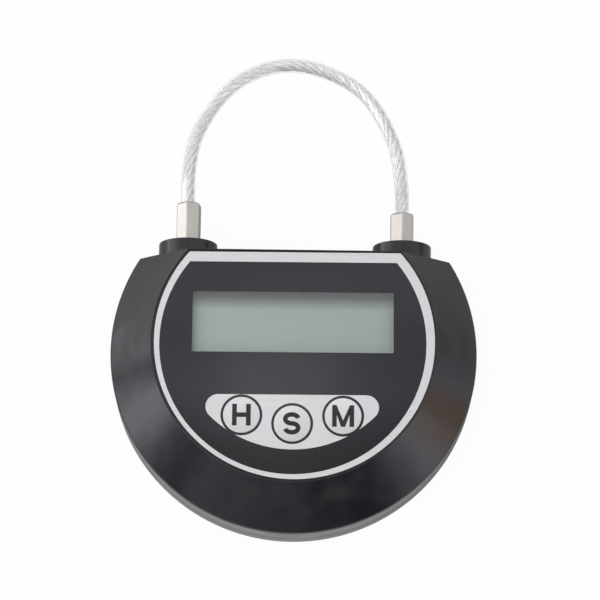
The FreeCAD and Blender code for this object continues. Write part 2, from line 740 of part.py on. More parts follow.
def contact_dimple(side, y):
    """A pressed dimple that meets the cell's nub."""
    wall = side * (tub_half_w - FIT - STRIP_T)
    length = abs(wall) - cell_end_x
    return Part.makeCone(2.4, 1.0, length, V(wall, y, cell_z), X * -side)


def terminal_tail_ys():
    """Heights of the plus and minus terminals' tails, the minus one brought in under the board."""
    return upper_cell_y, lower_cell_y + CELL_R + 0.9


def tail(y):
    x0 = -tub_half_w + FIT
    return box(x0, x0 + STRIP_T, y - 0.9, y + 0.9, cell_z + STRIP_H / 2 - 0.1, board_z)


def plus_terminal():
    y = upper_cell_y
    half = STRIP_W / 2
    return fuse([contact_strip(-1, y - half, y + half), contact_dimple(-1, y), tail(terminal_tail_ys()[0])])


def minus_terminal():
    y = lower_cell_y
    half = STRIP_W / 2
    tail_y = terminal_tail_ys()[1]
    arm_top_z = cell_z + STRIP_H / 2
    x0 = -tub_half_w + FIT
    arm = box(x0, x0 + STRIP_T, y, tail_y + 0.9, arm_top_z - 1.4, arm_top_z)
    return fuse([contact_strip(-1, y - half, y + half), arm, tail(tail_y)])


def bridge_strip():
    half = STRIP_W / 2
    strip = contact_strip(1, lower_cell_y - half, upper_cell_y + half)
    return fuse([strip, contact_dimple(1, lower_cell_y)])


# ================================================================ shackle
def hexagon_y(x, y0, length, turn):
    """A hexagonal bar along Y with chamfered ends, a corner ahead (+Z) when turn is 0."""
    radius = FERRULE_AF / math.sqrt(3)
    corners = []
    for k in range(6):
        a = math.radians(60 * k + turn)
        corners.append(V(x + radius * math.sin(a), y0, SHACKLE_Z + radius * math.cos(a)))
    bar = prism(corners, V(0, length, 0))
    flat_r = FERRULE_AF / 2
    mid = Part.makeCylinder(radius + 1, length - 2 * FERRULE_EDGE, V(x, y0 + FERRULE_EDGE, SHACKLE_Z), Y)
    grow = radius + 0.02 - flat_r
    low = Part.makeCone(flat_r, flat_r + 2 * grow, FERRULE_EDGE * 1.5, V(x, y0, SHACKLE_Z), Y)
    high_y = y0 + length - FERRULE_EDGE * 1.5
    high = Part.makeCone(flat_r + 2 * grow, flat_r, FERRULE_EDGE * 1.5, V(x, high_y, SHACKLE_Z), Y)
    return bar.common(join([mid, low, high]))


def ferrule(x, y0, turn):
    body = hexagon_y(x, y0, FERRULE_L, turn)
    rope_bore = rod_y(x, SHACKLE_Z, ROPE_R + RUN + 0.25, y0 + FERRULE_L - ROPE_HOLD - 0.3, y0 + FERRULE_L + 1)
    spigot_bore = rod_y(x, SHACKLE_Z, SPIGOT_R + RUN, y0 - 1, y0 + SPIGOT_L + 0.2)
    return body.cut(join([rope_bore, spigot_bore]))


def plug_pin():
    x = -SHACKLE_X
    shaft = rod_y(x, SHACKLE_Z, PIN_R, pin_end_y + PIN_TIP, boss_top_y)
    tip = Part.makeCone(PIN_R - PIN_TIP, PIN_R, PIN_TIP, V(x, pin_end_y, SHACKLE_Z), Y)
    spigot = rod_y(x, SHACKLE_Z, SPIGOT_R, boss_top_y - 0.1, boss_top_y + SPIGOT_L)
    half = BOLT_T / 2 + PLAY
    groove = rod_y(x, SHACKLE_Z, PIN_R + 1, groove_y - half, groove_y + half)
    core = rod_y(x, SHACKLE_Z, GROOVE_R, groove_y - half - 0.1, groove_y + half + 0.1)
    return fuse([fuse([shaft, tip, spigot]).cut(groove), core])


def anchor_pin():
    x = SHACKLE_X
    top = boss_top_y - ANCHOR_SINK
    end = housing_end_y - WASHER_T - CLIP_T - 1.0
    shaft = rod_y(x, SHACKLE_Z, PIN_R, end, top)
    spigot = rod_y(x, SHACKLE_Z, SPIGOT_R, top - 0.1, top + SPIGOT_L)
    y1 = housing_end_y - WASHER_T
    groove = rod_y(x, SHACKLE_Z, PIN_R + 1, y1 - CLIP_T - 0.05, y1)
    core = rod_y(x, SHACKLE_Z, GROOVE_R, y1 - CLIP_T - 0.1, y1 + 0.1)
    return fuse([fuse([shaft, spigot]).cut(groove), core])


def bush(x, y0, y1):
    return rod_y(x, SHACKLE_Z, BUSH_R, y0, y1).cut(rod_y(x, SHACKLE_Z, PIN_R + RUN, y0 - 1, y1 + 1))


def socket_bush():
    tube = bush(-SHACKLE_X, housing_end_y, boss_top_y - BUSH_SINK)
    return tube.cut(bolt_window(-SHACKLE_X + BUSH_R + 1))


def anchor_bush():
    return bush(SHACKLE_X, housing_end_y, boss_top_y - ANCHOR_SINK - FIT)


def anchor_washer():
    y1 = housing_end_y
    ring = rod_y(SHACKLE_X, SHACKLE_Z, BUSH_R + 0.7, y1 - WASHER_T, y1)
    return ring.cut(rod_y(SHACKLE_X, SHACKLE_Z, PIN_R + 0.1, y1 - WASHER_T - 1, y1 + 1))


def anchor_clip():
    """An open ring in the anchor pin's groove."""
    y1 = housing_end_y - WASHER_T - 0.02
    y0 = y1 - CLIP_T
    ring = rod_y(SHACKLE_X, SHACKLE_Z, PIN_R + CLIP_REACH, y0, y1)
    hole = rod_y(SHACKLE_X, SHACKLE_Z, GROOVE_R + 0.03, y0 - 1, y1 + 1)
    mouth = box(SHACKLE_X - 1.3, SHACKLE_X + 1.3, y0 - 1, y1 + 1, SHACKLE_Z - 2 * BOSS_R, SHACKLE_Z)
    return ring.cut(join([hole, mouth]))


def rope_points():
    """The route's points, with its two ends held in the ferrules."""
    anchored = (SHACKLE_X, boss_top_y - ANCHOR_SINK + FERRULE_L - ROPE_HOLD)
    plugged = (-SHACKLE_X, boss_top_y + FERRULE_L - ROPE_HOLD)
    return [V(x, y, SHACKLE_Z) for x, y in (anchored, *ROPE_ROUTE, plugged)]


def rope():
    """The coated wire rope: straight runs joined by the largest arcs that fit."""
    points = rope_points()
    edges = []
    start = points[0]
    radii = []
    for before, corner, after in zip(points, points[1:], points[2:]):
        back = (before - corner).normalize()
        ahead = (after - corner).normalize()
        half_turn = (math.pi - back.getAngle(ahead)) / 2
        tangent = ROPE_ARC_SHARE * min((before - corner).Length, (after - corner).Length)
        radius = tangent / math.tan(half_turn)
        radii.append(round(radius, 1))
        enter = corner + back * tangent
        leave = corner + ahead * tangent
        middle = (back + ahead).normalize()
        crown = corner + middle * (radius / math.cos(half_turn) - radius)
        edges.append(Part.LineSegment(start, enter).toShape())
        edges.append(Part.Arc(enter, crown, leave).toShape())
        start = leave
    edges.append(Part.LineSegment(start, points[-1]).toShape())
    path = Part.Wire(edges)
    first = (points[1] - points[0]).normalize()
    section = Part.Wire(Part.makeCircle(ROPE_R, points[0], first))
    tube = path.makePipeShell([section], True, True)
    print("rope length", round(path.Length, 1), "radii", radii)
    plain = math.pi * ROPE_R**2 * path.Length
    print("rope volume over section times length", round(tube.Volume / plain, 4))
    return tube


# ================================================================ lock train
def involute(angle):
    return math.tan(angle) - angle


def pinion():
    """An involute pinion along Y, with a tooth space facing the rack (+Z)."""
    base_r = pitch_r * math.cos(PRESSURE)
    tip_r = pitch_r + MODULE * (0.75 + PINION_SHIFT)
    root_r = pitch_r - MODULE * (1.2 - PINION_SHIFT)
    thickness = MODULE * (math.pi / 2 + 2 * PINION_SHIFT * math.tan(PRESSURE)) - BACKLASH / 2
    half_at_pitch = thickness / (2 * pitch_r)
    steps = 5
    outline = []
    pitch_angle = 2 * math.pi / PINION_TEETH
    for tooth in range(PINION_TEETH):
        middle = (tooth + 0.5) * pitch_angle
        flank = []
        for k in range(steps + 1):
            r = base_r + (tip_r - base_r) * k / steps
            at_r = math.acos(min(1, base_r / r))
            half = half_at_pitch + involute(PRESSURE) - involute(at_r)
            flank.append((r, half))
        sides = [(root_r, flank[0][1])] + flank
        outline += [(r, middle - half) for r, half in sides]
        outline += [(r, middle + half) for r, half in reversed(sides)]
    y0 = groove_y - PINION_W / 2
    points = [V(MOTOR_X + r * math.sin(a), y0, motor_z + r * math.cos(a)) for r, a in outline]
    gear = prism(points, V(0, PINION_W, 0))
    return gear.cut(shaft_solid(0.02, y0 - 1, y0 + PINION_W + 1))


def shaft_solid(grow, y0, y1):
    """The output shaft with its flat, grown by a clearance."""
    radius = SHAFT_R + grow
    rod = rod_y(MOTOR_X, motor_z, radius, y0, y1)
    flat = SHAFT_R - SHAFT_FLAT + grow
    reach = 2 * radius
    return rod.cut(box(MOTOR_X - reach, MOTOR_X + reach, y0 - 1, y1 + 1, motor_z + flat, motor_z + reach))


def output_shaft():
    return shaft_solid(0, gearbox_front_y - 2.5, groove_y + PINION_W / 2 + 0.6)


def lock_bolt():
    """A plate across Y: a forked nose at the plug's pin, and an arm whose underside is a rack."""
    arm_top = rack_root_z + BOLT_ARM_H
    nose_back = guide_x1 + bolt_travel + GAP
    nose_low = SHACKLE_Z - BOLT_NOSE_H / 2
    nose_high = SHACKLE_Z + BOLT_NOSE_H / 2
    y0 = groove_y - BOLT_T / 2
    tooth_pitch = math.pi * MODULE
    thickness = MODULE * (math.pi / 2 - 2 * PINION_SHIFT * math.tan(PRESSURE)) - BACKLASH / 2
    low_drop = rack_ref_z - rack_tip_z
    high_rise = rack_root_z - rack_ref_z
    outline = [(nose_open_x, nose_low), (nose_back, nose_low), (nose_back, rack_root_z)]
    first = MOTOR_X - (RACK_TEETH // 2 - 1) * tooth_pitch
    for k in range(RACK_TEETH):
        c = first + k * tooth_pitch
        wide = thickness / 2 + high_rise * math.tan(PRESSURE)
        slim = thickness / 2 - low_drop * math.tan(PRESSURE)
        outline += [(c - wide, rack_root_z), (c - slim, rack_tip_z)]
        outline += [(c + slim, rack_tip_z), (c + wide, rack_root_z)]
    end = first + RACK_TEETH * tooth_pitch
    outline += [(end, rack_root_z), (end, arm_top), (nose_back, arm_top), (nose_back, nose_high)]
    outline += [(nose_open_x, nose_high)]
    blank = prism([V(x, y0, z) for x, z in outline], V(0, BOLT_T, 0))
    notch_x = nose_open_x
    notch = rod_y(notch_x, SHACKLE_Z, GROOVE_R + PLAY / 2, y0 - 1, y0 + BOLT_T + 1)
    return blank.cut(notch)


def bolt_guide():
    """A moulded block on the chassis, with a window that the bolt slides in."""
    half_t = BOLT_T / 2
    y0 = groove_y - half_t - GUIDE_WALL
    y1 = groove_y + half_t + GUIDE_WALL
    z0 = chassis_z + CHASSIS_T
    z1 = min(board_z - GAP, SHACKLE_Z + BOLT_NOSE_H / 2 + 1.2)
    block = box(guide_x0, guide_x1, y0, y1, z0, z1)
    half_h = BOLT_NOSE_H / 2 + PLAY
    way = box(
        guide_x0 - 1,
        guide_x1 + 1,
        groove_y - half_t - PLAY,
        groove_y + half_t + PLAY,
        SHACKLE_Z - half_h,
        SHACKLE_Z + half_h,
    )
    return block.cut(way)


def peg_places():
    """Heat-staked pegs that hold the chassis, clear of the motor."""
    left = guide_x0 + 1.4
    right = MOTOR_X + MOTOR_W / 2 + 2.4
    return [(left, groove_y - 6.5), (right, groove_y), (right, motor_back_y + 3.0)]


def chassis_plate():
    x0 = guide_x0 - 0.4
    x1 = MOTOR_X + MOTOR_W / 2 + 4.4
    y0 = motor_back_y
    y1 = groove_y + BOLT_T / 2 + GUIDE_WALL
    sheet = plate(x0, x1, y0, y1, chassis_z, chassis_z + CHASSIS_T, 1.2)
    return sheet.cut(join([rod_z(x, y, PEG_R + FIT, 0, chassis_z + 5) for x, y in peg_places()]))


def motor_can():
    low = motor_z - MOTOR_H / 2
    can = rod_y(MOTOR_X, motor_z, MOTOR_W / 2, motor_back_y, gearbox_back_y)
    can = can.common(box(MOTOR_X - MOTOR_W, MOTOR_X + MOTOR_W, -CASE_R, CASE_R, low, low + MOTOR_H))
    cap = rod_y(MOTOR_X, motor_z, 2.0, motor_back_y - 0.6, motor_back_y + 0.1)
    return fuse([can, cap])


def motor_gearbox():
    x0 = MOTOR_X - MOTOR_W / 2
    low = motor_z - MOTOR_H / 2
    body = box(x0, x0 + MOTOR_W, gearbox_back_y, gearbox_front_y, low, low + MOTOR_H)
    along = [e for e in body.Edges if e.BoundBox.YLength > GEARBOX_L / 2]
    body = body.makeFillet(1.0, along)
    boss = rod_y(MOTOR_X, motor_z, 2.0, gearbox_front_y - 0.1, gearbox_front_y + 0.4)
    bore = rod_y(MOTOR_X, motor_z, SHAFT_R + RUN, gearbox_front_y - 3, gearbox_front_y + 1)
    return fuse([body, boss]).cut(bore)


def motor_clamp():
    """A strap over the gearbox, down to the chassis."""
    y0 = gearbox_back_y + (GEARBOX_L - CLAMP_W) / 2
    half_w = MOTOR_W / 2 + FIT
    top = motor_z + MOTOR_H / 2 + FIT
    low = chassis_z + CHASSIS_T
    outer = box(
        MOTOR_X - half_w - CLAMP_T, MOTOR_X + half_w + CLAMP_T, y0, y0 + CLAMP_W, low, top + CLAMP_T
    )
    return outer.cut(box(MOTOR_X - half_w, MOTOR_X + half_w, y0 - 1, y0 + CLAMP_W + 1, low - 1, top))


# ================================================================ nodes
def save(name, shape):
    solids = shape.Solids
    good = all(s.isValid() for s in solids) and shape.isValid()
    print(f"{name:18s} solids {len(solids):3d} volume {shape.Volume:9.1f} {'ok' if good else 'BAD'}")
    shape.exportStep(f"parts/{name}.step")


def case_nodes():
    save("front_shell", front_shell())
    save("back_shell", back_shell())
    save("battery_door", battery_door())
    save("case_screws", case_screws())
    save("front_overlay", front_overlay())
    save("display_lens", display_lens())


def key_nodes():
    for name, x, y in key_places():
        save(f"key_cap_{name}", key_cap(x, y))
        save(f"switch_plunger_{name}", switch_plunger(x, y))
        save(f"key_switch_{name}", key_switch(x, y))


def electronic_nodes():
    layers = ("lcd_reflector", "lcd_rear_glass", "lcd_front_glass", "lcd_polarizer")
    for name, shape in zip(layers, lcd_parts()):
        save(name, shape)
    save("lcd_pins", lcd_pins())
    save("main_board", main_board())
    save("board_screws", board_screws())
    save("timer_chip", timer_chip())
    save("driver_chip", driver_chip())
    save("crystal", crystal())
    save("capacitor", capacitor())


def battery_nodes():
    save("battery_cell_1", battery_cell(upper_cell_y, -1))
    save("battery_cell_2", battery_cell(lower_cell_y, 1))
    save("plus_terminal", plus_terminal())
    save("minus_terminal", minus_terminal())
    save("bridge_strip", bridge_strip())
    save("minus_spring", contact_spring(-1, lower_cell_y))
    save("bridge_spring", contact_spring(1, upper_cell_y))


def shackle_nodes():
    save("plug_ferrule", ferrule(-SHACKLE_X, boss_top_y, PLUG_TURN))
    save("plug_pin", plug_pin())
    save("socket_bush", socket_bush())
    save("anchor_ferrule", ferrule(SHACKLE_X, boss_top_y - ANCHOR_SINK, 0))
    save("anchor_pin", anchor_pin())
    save("anchor_bush", anchor_bush())
    save("anchor_washer", anchor_washer())
    save("anchor_clip", anchor_clip())
    save("shackle_rope", rope())


def lock_nodes():
    save("lock_bolt", lock_bolt())
    save("bolt_guide", bolt_guide())
    save("chassis_plate", chassis_plate())
    save("motor_can", motor_can())
    save("motor_gearbox", motor_gearbox())
    save("motor_clamp", motor_clamp())
    save("output_shaft", output_shaft())
    save("drive_pinion", pinion())


os.makedirs("parts", exist_ok=True)
case_nodes()
key_nodes()
electronic_nodes()
battery_nodes()
shackle_nodes()
lock_nodes()
print("face at", round(face_z, 2), "cells at", round(lower_cell_y, 2), round(upper_cell_y, 2))
print("bolt travel", round(bolt_travel, 3), "motor from", round(motor_back_y, 2))
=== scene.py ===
import json
import math

import bmesh
import bpy
from bpy.props import FloatProperty, FloatVectorProperty, IntProperty, PointerProperty
from mathutils import Matrix, Vector


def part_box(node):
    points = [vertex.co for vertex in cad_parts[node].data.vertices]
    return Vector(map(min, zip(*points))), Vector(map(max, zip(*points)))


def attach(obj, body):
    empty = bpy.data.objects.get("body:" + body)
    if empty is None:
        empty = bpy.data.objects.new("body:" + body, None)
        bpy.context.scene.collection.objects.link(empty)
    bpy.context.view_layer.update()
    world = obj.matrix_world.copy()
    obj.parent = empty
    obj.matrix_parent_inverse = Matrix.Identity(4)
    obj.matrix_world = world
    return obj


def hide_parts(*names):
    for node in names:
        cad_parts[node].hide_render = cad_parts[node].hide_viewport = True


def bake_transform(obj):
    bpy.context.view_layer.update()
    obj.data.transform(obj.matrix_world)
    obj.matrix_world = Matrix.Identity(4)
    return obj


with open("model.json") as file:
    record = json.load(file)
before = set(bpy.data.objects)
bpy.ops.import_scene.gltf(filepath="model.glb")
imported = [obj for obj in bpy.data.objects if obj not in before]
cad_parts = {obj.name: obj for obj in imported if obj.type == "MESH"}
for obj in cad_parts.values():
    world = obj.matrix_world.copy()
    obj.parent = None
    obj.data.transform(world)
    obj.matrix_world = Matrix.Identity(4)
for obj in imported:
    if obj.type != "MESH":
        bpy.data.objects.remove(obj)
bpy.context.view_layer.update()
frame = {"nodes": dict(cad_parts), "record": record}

bl_info = {
    "name": "Timed padlock",
    "version": (1, 0, 0),
    "blender": (4, 5, 0),
    "location": "View3D > Sidebar > Padlock",
    "description": "Dresses the frame of a timed padlock with its visible pieces and finishes",
    "category": "Object",
}

MM = 0.001
ROUND_STEPS = 192  # sides of the case's circles
SOCKET_STEPS = 128
KEY_STEPS = 96
SMALL_STEPS = 64  # sides of pins, bores and screws
OVERSHOOT = 1 * MM  # how far a cutting shape stands out of what it cuts
PRINT_T = 0.02 * MM  # printed and painted layers
SAME = 1e-6  # places that differ by less are one
NEAR = 1e-5  # the same, for edges that a join has made
WELD = 1e-7  # vertices this close are merged

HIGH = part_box("front_shell")[1]
BACK_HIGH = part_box("back_shell")[1]
OVERLAY_LOW, OVERLAY_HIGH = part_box("front_overlay")
LENS_LOW, LENS_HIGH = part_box("display_lens")
DOOR_LOW, DOOR_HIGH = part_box("battery_door")
SCREW_HEAD_R = 2.0 * MM

# The rope's route: the line through its middle, from the anchored ferrule to the plug.
ROPE_Z = 0.0116
ROPE_ROUTE = (
    (0.02585, 0.0315),
    (0.0263, 0.0469),
    (0.0202, 0.0613),
    (0.0132, 0.0687),
    (0.0001, 0.0736),
    (-0.0122, 0.0706),
    (-0.0206, 0.0626),
    (-0.0270, 0.0487),
    (-0.02585, 0.0336),
)


# ================================================================ sizes and colours that a user may change
def length(name, description, default):
    return FloatProperty(name=name, description=description, default=default, unit="LENGTH", precision=5)


def number(name, description, default):
    return FloatProperty(name=name, description=description, default=default)


def colour(name, description, default):
    return FloatVectorProperty(
        name=name, description=description, default=default, subtype="COLOR", min=0.0, max=1.0
    )


class PadlockCase(bpy.types.PropertyGroup):
    radius: length("Case radius", "Radius of the round case", HIGH.x)
    flat_y: length("Flat top", "Height of the flat top above the case's centre", 0.023003)
    parting_z: length("Parting line", "Where the two shells meet", 0.0053)
    rim_z: length("Rim", "Top of the upright side, where the slope starts", HIGH.z - 0.010)
    panel_radius: length("Panel radius", "Radius of the slope's inner edge", 0.03395)
    panel_y: length("Panel offset", "How far the panel sits above the case's centre", 0.0004)
    wall: length("Wall", "Thickness of the shells", 0.0018)
    edge: length("Edge rounding", "Rounding of the outer edges", 0.00022)
    rim_edge: length("Rim rounding", "Rounding where the slope meets the upright side", 0.00048)
    groove: length("Parting groove", "Half the width of the groove at the parting line", 0.00032)
    boss_x: length("Socket spacing", "Each socket from the middle", 0.02585)
    boss_z: length("Socket height", "Sockets above the back face", 0.0116)
    boss_radius: length("Socket radius", "Radius of the two round sockets", 0.00705)
    boss_top: length("Socket top", "Top of the sockets above the case's centre", HIGH.y)
    bore_radius: length("Socket bore", "Bore that holds the bush", 0.0035)
    plastic: colour("Case plastic", "Black moulded plastic", (0.0110, 0.0113, 0.0145))


class PadlockFace(bpy.types.PropertyGroup):
    recess_radius: length("Recess radius", "Radius of the recess that holds the overlay", 0.03385)
    recess_depth: length("Recess depth", "Depth of that recess", 0.0005)
    overlay_radius: length("Overlay radius", "Radius of the printed overlay", OVERLAY_HIGH.x)
    window_half_w: length("Window half width", "Half the display window's width", 0.02395)
    window_half_h: length("Window half height", "Half the display window's height", 0.0074)
    window_y: length("Window middle", "Middle of the display window", 0.0052)
    ring_outer: length("Border outer radius", "Outer radius of the silver border", 0.03335)
    ring_inner: length("Border inner radius", "Inner radius of the silver border", 0.0317)
    ring_top: length("Border top", "Inner edge of the border's straight stretch", 0.01996)
    film: colour("Overlay film", "Dark film round the display", (0.019, 0.0195, 0.024))
    silver: colour("Overlay silver", "Silver print of the border and the key field", (0.70, 0.70, 0.72))
    display: colour("Display", "Blank display behind its polarizer", (0.288, 0.378, 0.324))


class PadlockKeys(bpy.types.PropertyGroup):
    radius: length("Key radius", "Radius of a key cap", 0.00437)
    hole_gap: length("Gap", "Gap round each key cap", 0.00058)
    letter_height: length("Letter height", "Height of the capital letters", 0.00525)
    paint: colour("Key paint", "Silver paint on the caps", (0.70, 0.70, 0.72))
    ink: colour("Letter ink", "Dark print of the letters", (0.018, 0.018, 0.021))


class PadlockShackle(bpy.types.PropertyGroup):
    coat_radius: length("Coat radius", "Outside of the clear coat", 0.0017)
    core_radius: length("Rope radius", "Outside of the wire rope in the coat", 0.00142)
    lay: length("Lay length", "One turn of a strand round the rope", 0.0165)
    strand_lay: length("Strand lay", "One turn of a wire round its strand", 0.090)
    strands: IntProperty(name="Strands", description="Strands round the middle one", default=6, min=3)
    wires: IntProperty(name="Wires", description="Outer wires of each strand", default=6, min=3)
    steel: colour("Wire", "Galvanised wire", (0.86, 0.86, 0.86))
    coat: colour("Coat", "Clear plastic coat", (0.93, 0.94, 0.95))
    nickel: colour("Ferrules", "Bright nickel plate", (0.610, 0.582, 0.545))


class PadlockStage(bpy.types.PropertyGroup):
    distance: length("Camera distance", "Camera to the padlock's origin", 0.800)
    elevation: number("Elevation", "Camera above the table, in degrees", 76.51)
    azimuth: number("Azimuth", "Camera to the right of straight on, in degrees", 0.46)
    roll: number("Roll", "Camera's turn about its view, in degrees", 0.6998)
    lens: number("Lens", "Focal length on a 36 mm sensor", 197.08)
    aim_x: length("Aim across", "Where the view's middle meets the shackle's plane", 0.0013693)
    aim_y: length("Aim up", "The same, up the padlock", 0.0132025)
    floor: colour("Floor", "Plain pale floor", (0.86, 0.86, 0.86))


GROUPS = {
    "padlock_case": PadlockCase,
    "padlock_face": PadlockFace,
    "padlock_keys": PadlockKeys,
    "padlock_shackle": PadlockShackle,
    "padlock_stage": PadlockStage,
}


# ================================================================ mesh helpers
def cylinder(bm, axis, centre, radius, start, end, steps=SMALL_STEPS):
    """A closed cylinder along an axis (0, 1 or 2), from start to end; centre gives its other two places."""
    middle = Vector(centre)
    middle[axis] = (start + end) / 2
    turns = (Matrix.Rotation(math.radians(90), 4, "Y"), Matrix.Rotation(math.radians(-90), 4, "X"), Matrix())
    bmesh.ops.create_cone(
        bm, cap_ends=True, segments=steps, radius1=radius, radius2=radius, depth=end - start,
        matrix=Matrix.Translation(middle) @ turns[axis],
    )


def block(bm, low, high):
    """A box between two corners; returns its vertices."""
    low = Vector(low)
    high = Vector(high)
    size = Matrix.Diagonal((*(high - low), 1))
    return bmesh.ops.create_cube(bm, size=1, matrix=Matrix.Translation((low + high) / 2) @ size)["verts"]


def bevel(bm, edges, offset, segments=3):
    bmesh.ops.bevel(
        bm, geom=edges, offset=offset, affect="EDGES", offset_type="OFFSET", segments=segments,
        profile=0.5, material=-1, clamp_overlap=True,
    )


def span(edge, axis):
    """How far an edge reaches along an axis (0, 1 or 2)."""
    return abs(edge.verts[0].co[axis] - edge.verts[1].co[axis])


def sharp_edges(bm, degrees):
    """Edges whose two faces turn by more than this."""
    return [e for e in bm.edges if len(e.link_faces) == 2 and e.calc_face_angle(0) > math.radians(degrees)]


def plate(bm, low, high, corner):
    """A box with rounded upright edges."""
    verts = block(bm, low, high)
    bevel(bm, list({e for v in verts for e in v.link_edges if span(e, 2) > SAME}), corner, 8)


def clip(bm, point, normal):
    """Cuts off what lies beyond the plane and closes the cut."""
    geometry = bm.verts[:] + bm.edges[:] + bm.faces[:]
    bmesh.ops.bisect_plane(bm, geom=geometry, plane_co=point, plane_no=normal, clear_outer=True)
    bmesh.ops.holes_fill(bm, edges=[e for e in bm.edges if e.is_boundary], sides=0)


def stack(bm, levels, flat_y):
    """Circles of (height, radius, middle y) joined into one solid and cut off at flat_y."""
    z, radius, y = levels[0]
    made = bmesh.ops.create_circle(
        bm, cap_ends=True, segments=ROUND_STEPS, radius=radius, matrix=Matrix.Translation((0, y, z))
    )
    face = made["verts"][0].link_faces[0]
    for step, (next_z, next_radius, next_y) in enumerate(levels[1:]):
        grown = bmesh.ops.extrude_face_region(bm, geom=[face])
        top = [f for f in grown["geom"] if isinstance(f, bmesh.types.BMFace)][0]
        if step:
            bmesh.ops.delete(bm, geom=[face], context="FACES_ONLY")
        ratio = next_radius / radius
        bmesh.ops.scale(bm, vec=(ratio, ratio, 1), space=Matrix.Translation((0, -y, -z)), verts=top.verts)
        bmesh.ops.translate(bm, vec=(0, next_y - y, next_z - z), verts=top.verts)
        face = top
        z, radius, y = next_z, next_radius, next_y
    clip(bm, (0, flat_y, 0), (0, 1, 0))
    bmesh.ops.recalc_face_normals(bm, faces=bm.faces)


def outline(bm, points):
    """Draws the closed chain of edges through the points; returns its vertices and edges."""
    verts = [bm.verts.new(point) for point in points]
    return verts + [bm.edges.new(pair) for pair in zip(verts, verts[1:] + verts[:1])]


def sweep(bm, geometry, centre, axis, degrees, steps, whole=False):
    """Spins the geometry about a line through centre; returns what ends the turn."""
    return bmesh.ops.spin(
        bm, geom=geometry, cent=centre, axis=axis, dvec=(0, 0, 0), angle=math.radians(degrees), steps=steps,
        use_merge=whole, use_normal_flip=False, use_duplicate=False,
    )["geom_last"]


def lathe(bm, axis, centre, profile, steps=SMALL_STEPS):
    """Spins the closed profile of (radius, place along the axis) about the axis (0, 1 or 2)."""
    along = Vector((axis == 0, axis == 1, axis == 2))
    out = Vector((axis != 0, axis == 0, 0))
    middle = Vector(centre) - along * Vector(centre).dot(along)
    drawn = outline(bm, [middle + out * radius + along * spot for radius, spot in profile])
    sweep(bm, drawn, middle, along, 360, steps, whole=True)
    bmesh.ops.remove_doubles(bm, verts=bm.verts, dist=WELD)
    bmesh.ops.recalc_face_normals(bm, faces=bm.faces)


def arc(bm, vert, centre, degrees, steps):
    """Draws an arc from vert, round centre, as a chain of edges; returns its last vertex."""
    return sweep(bm, [vert], centre, (0, 0, 1), degrees, steps)[0]


def raised(bm):
    """Fills the closed flat outline and raises it by the thickness of a print."""
    bmesh.ops.remove_doubles(bm, verts=bm.verts, dist=WELD)
    bmesh.ops.contextual_create(bm, geom=bm.edges[:])
    grown = bmesh.ops.extrude_face_region(bm, geom=bm.faces[:])
    top = [g for g in grown["geom"] if isinstance(g, bmesh.types.BMVert)]
    bmesh.ops.translate(bm, vec=(0, 0, PRINT_T), verts=top)
    bmesh.ops.recalc_face_normals(bm, faces=bm.faces)
    return bm


def shape(maker, *values):
    """A new bmesh that the maker draws in."""
    bm = bmesh.new()
    maker(bm, *values)
    return bm


def add(name, data):
    """Puts a new object in the scene."""
    made = bpy.data.objects.new(name, data)
    bpy.context.scene.collection.objects.link(made)
    return made


def link(name, bm):
    """Puts a new piece in the scene, shaped as the bmesh is."""
    mesh = bpy.data.meshes.new(name)
    bm.to_mesh(mesh)
    bm.free()
    return add(name, mesh)


def reopened(made):
    """The piece's mesh as a new bmesh."""
    return shape(bmesh.types.BMesh.from_mesh, made.data)


def final_mesh(made):
    """A new mesh of the object, as its modifiers or its curve shape it."""
    graph = bpy.context.evaluated_depsgraph_get()
    return bpy.data.meshes.new_from_object(made.evaluated_get(graph))


def carve(made, operation, *cutters):
    """Joins the cutters to made, cuts them off it, or keeps what is in them, one after another."""
    tools = [link(f"{made.name}_cutter", cutter) for cutter in cutters]
    for tool in tools:
        step = made.modifiers.new("carve", "BOOLEAN")
        step.operation = operation
        step.solver = "EXACT"
        step.object = tool
    mesh = final_mesh(made)
    made.modifiers.clear()
    made.data = mesh
    for tool in tools:
        bpy.data.objects.remove(tool)


def paint(made, finish):
    made.data.materials.clear()
    made.data.materials.append(finish)


def soften(made, degrees):
    """Smooth shading with crisp corners."""
    made.data.shade_smooth()
    made.data.set_sharp_from_angle(angle=math.radians(degrees))


def dress(made, body, finish, slot, *stands_for, degrees=32):
    """Gives a finished piece its material, its shading and its body, and hides the nodes that it stands for.
    """
    paint(made, finish)
    soften(made, degrees)
    made.modifiers.new("even_shading", "WEIGHTED_NORMAL").keep_sharp = True
    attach(made, body)
    if stands_for:
        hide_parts(*stands_for)


# ================================================================ material helpers
def fill(made, inputs):
    """Sets a node's inputs: an output of another node is linked, and anything else is its value."""
    for key, value in inputs.items():
        if isinstance(value, bpy.types.NodeSocket):
            made.id_data.links.new(value, made.inputs[key])
        else:
            made.inputs[key].default_value = value


def node(tree, kind, inputs=(), **values):
    made = tree.nodes.new(kind)
    for key, value in values.items():
        setattr(made, key, value)
    fill(made, dict(inputs))
    return made


def new_material(name):
    made = bpy.data.materials.new(name)
    made.use_nodes = True
    return made, made.node_tree, made.node_tree.nodes["Principled BSDF"]


def place(tree):
    return node(tree, "ShaderNodeTexCoord").outputs["Object"]


def split(tree):
    """The X, Y and Z of a point in the piece's own space."""
    return node(tree, "ShaderNodeSeparateXYZ", {"Vector": place(tree)}).outputs


def calc(tree, operation, *values):
    return node(tree, "ShaderNodeMath", dict(enumerate(values)), operation=operation).outputs[0]


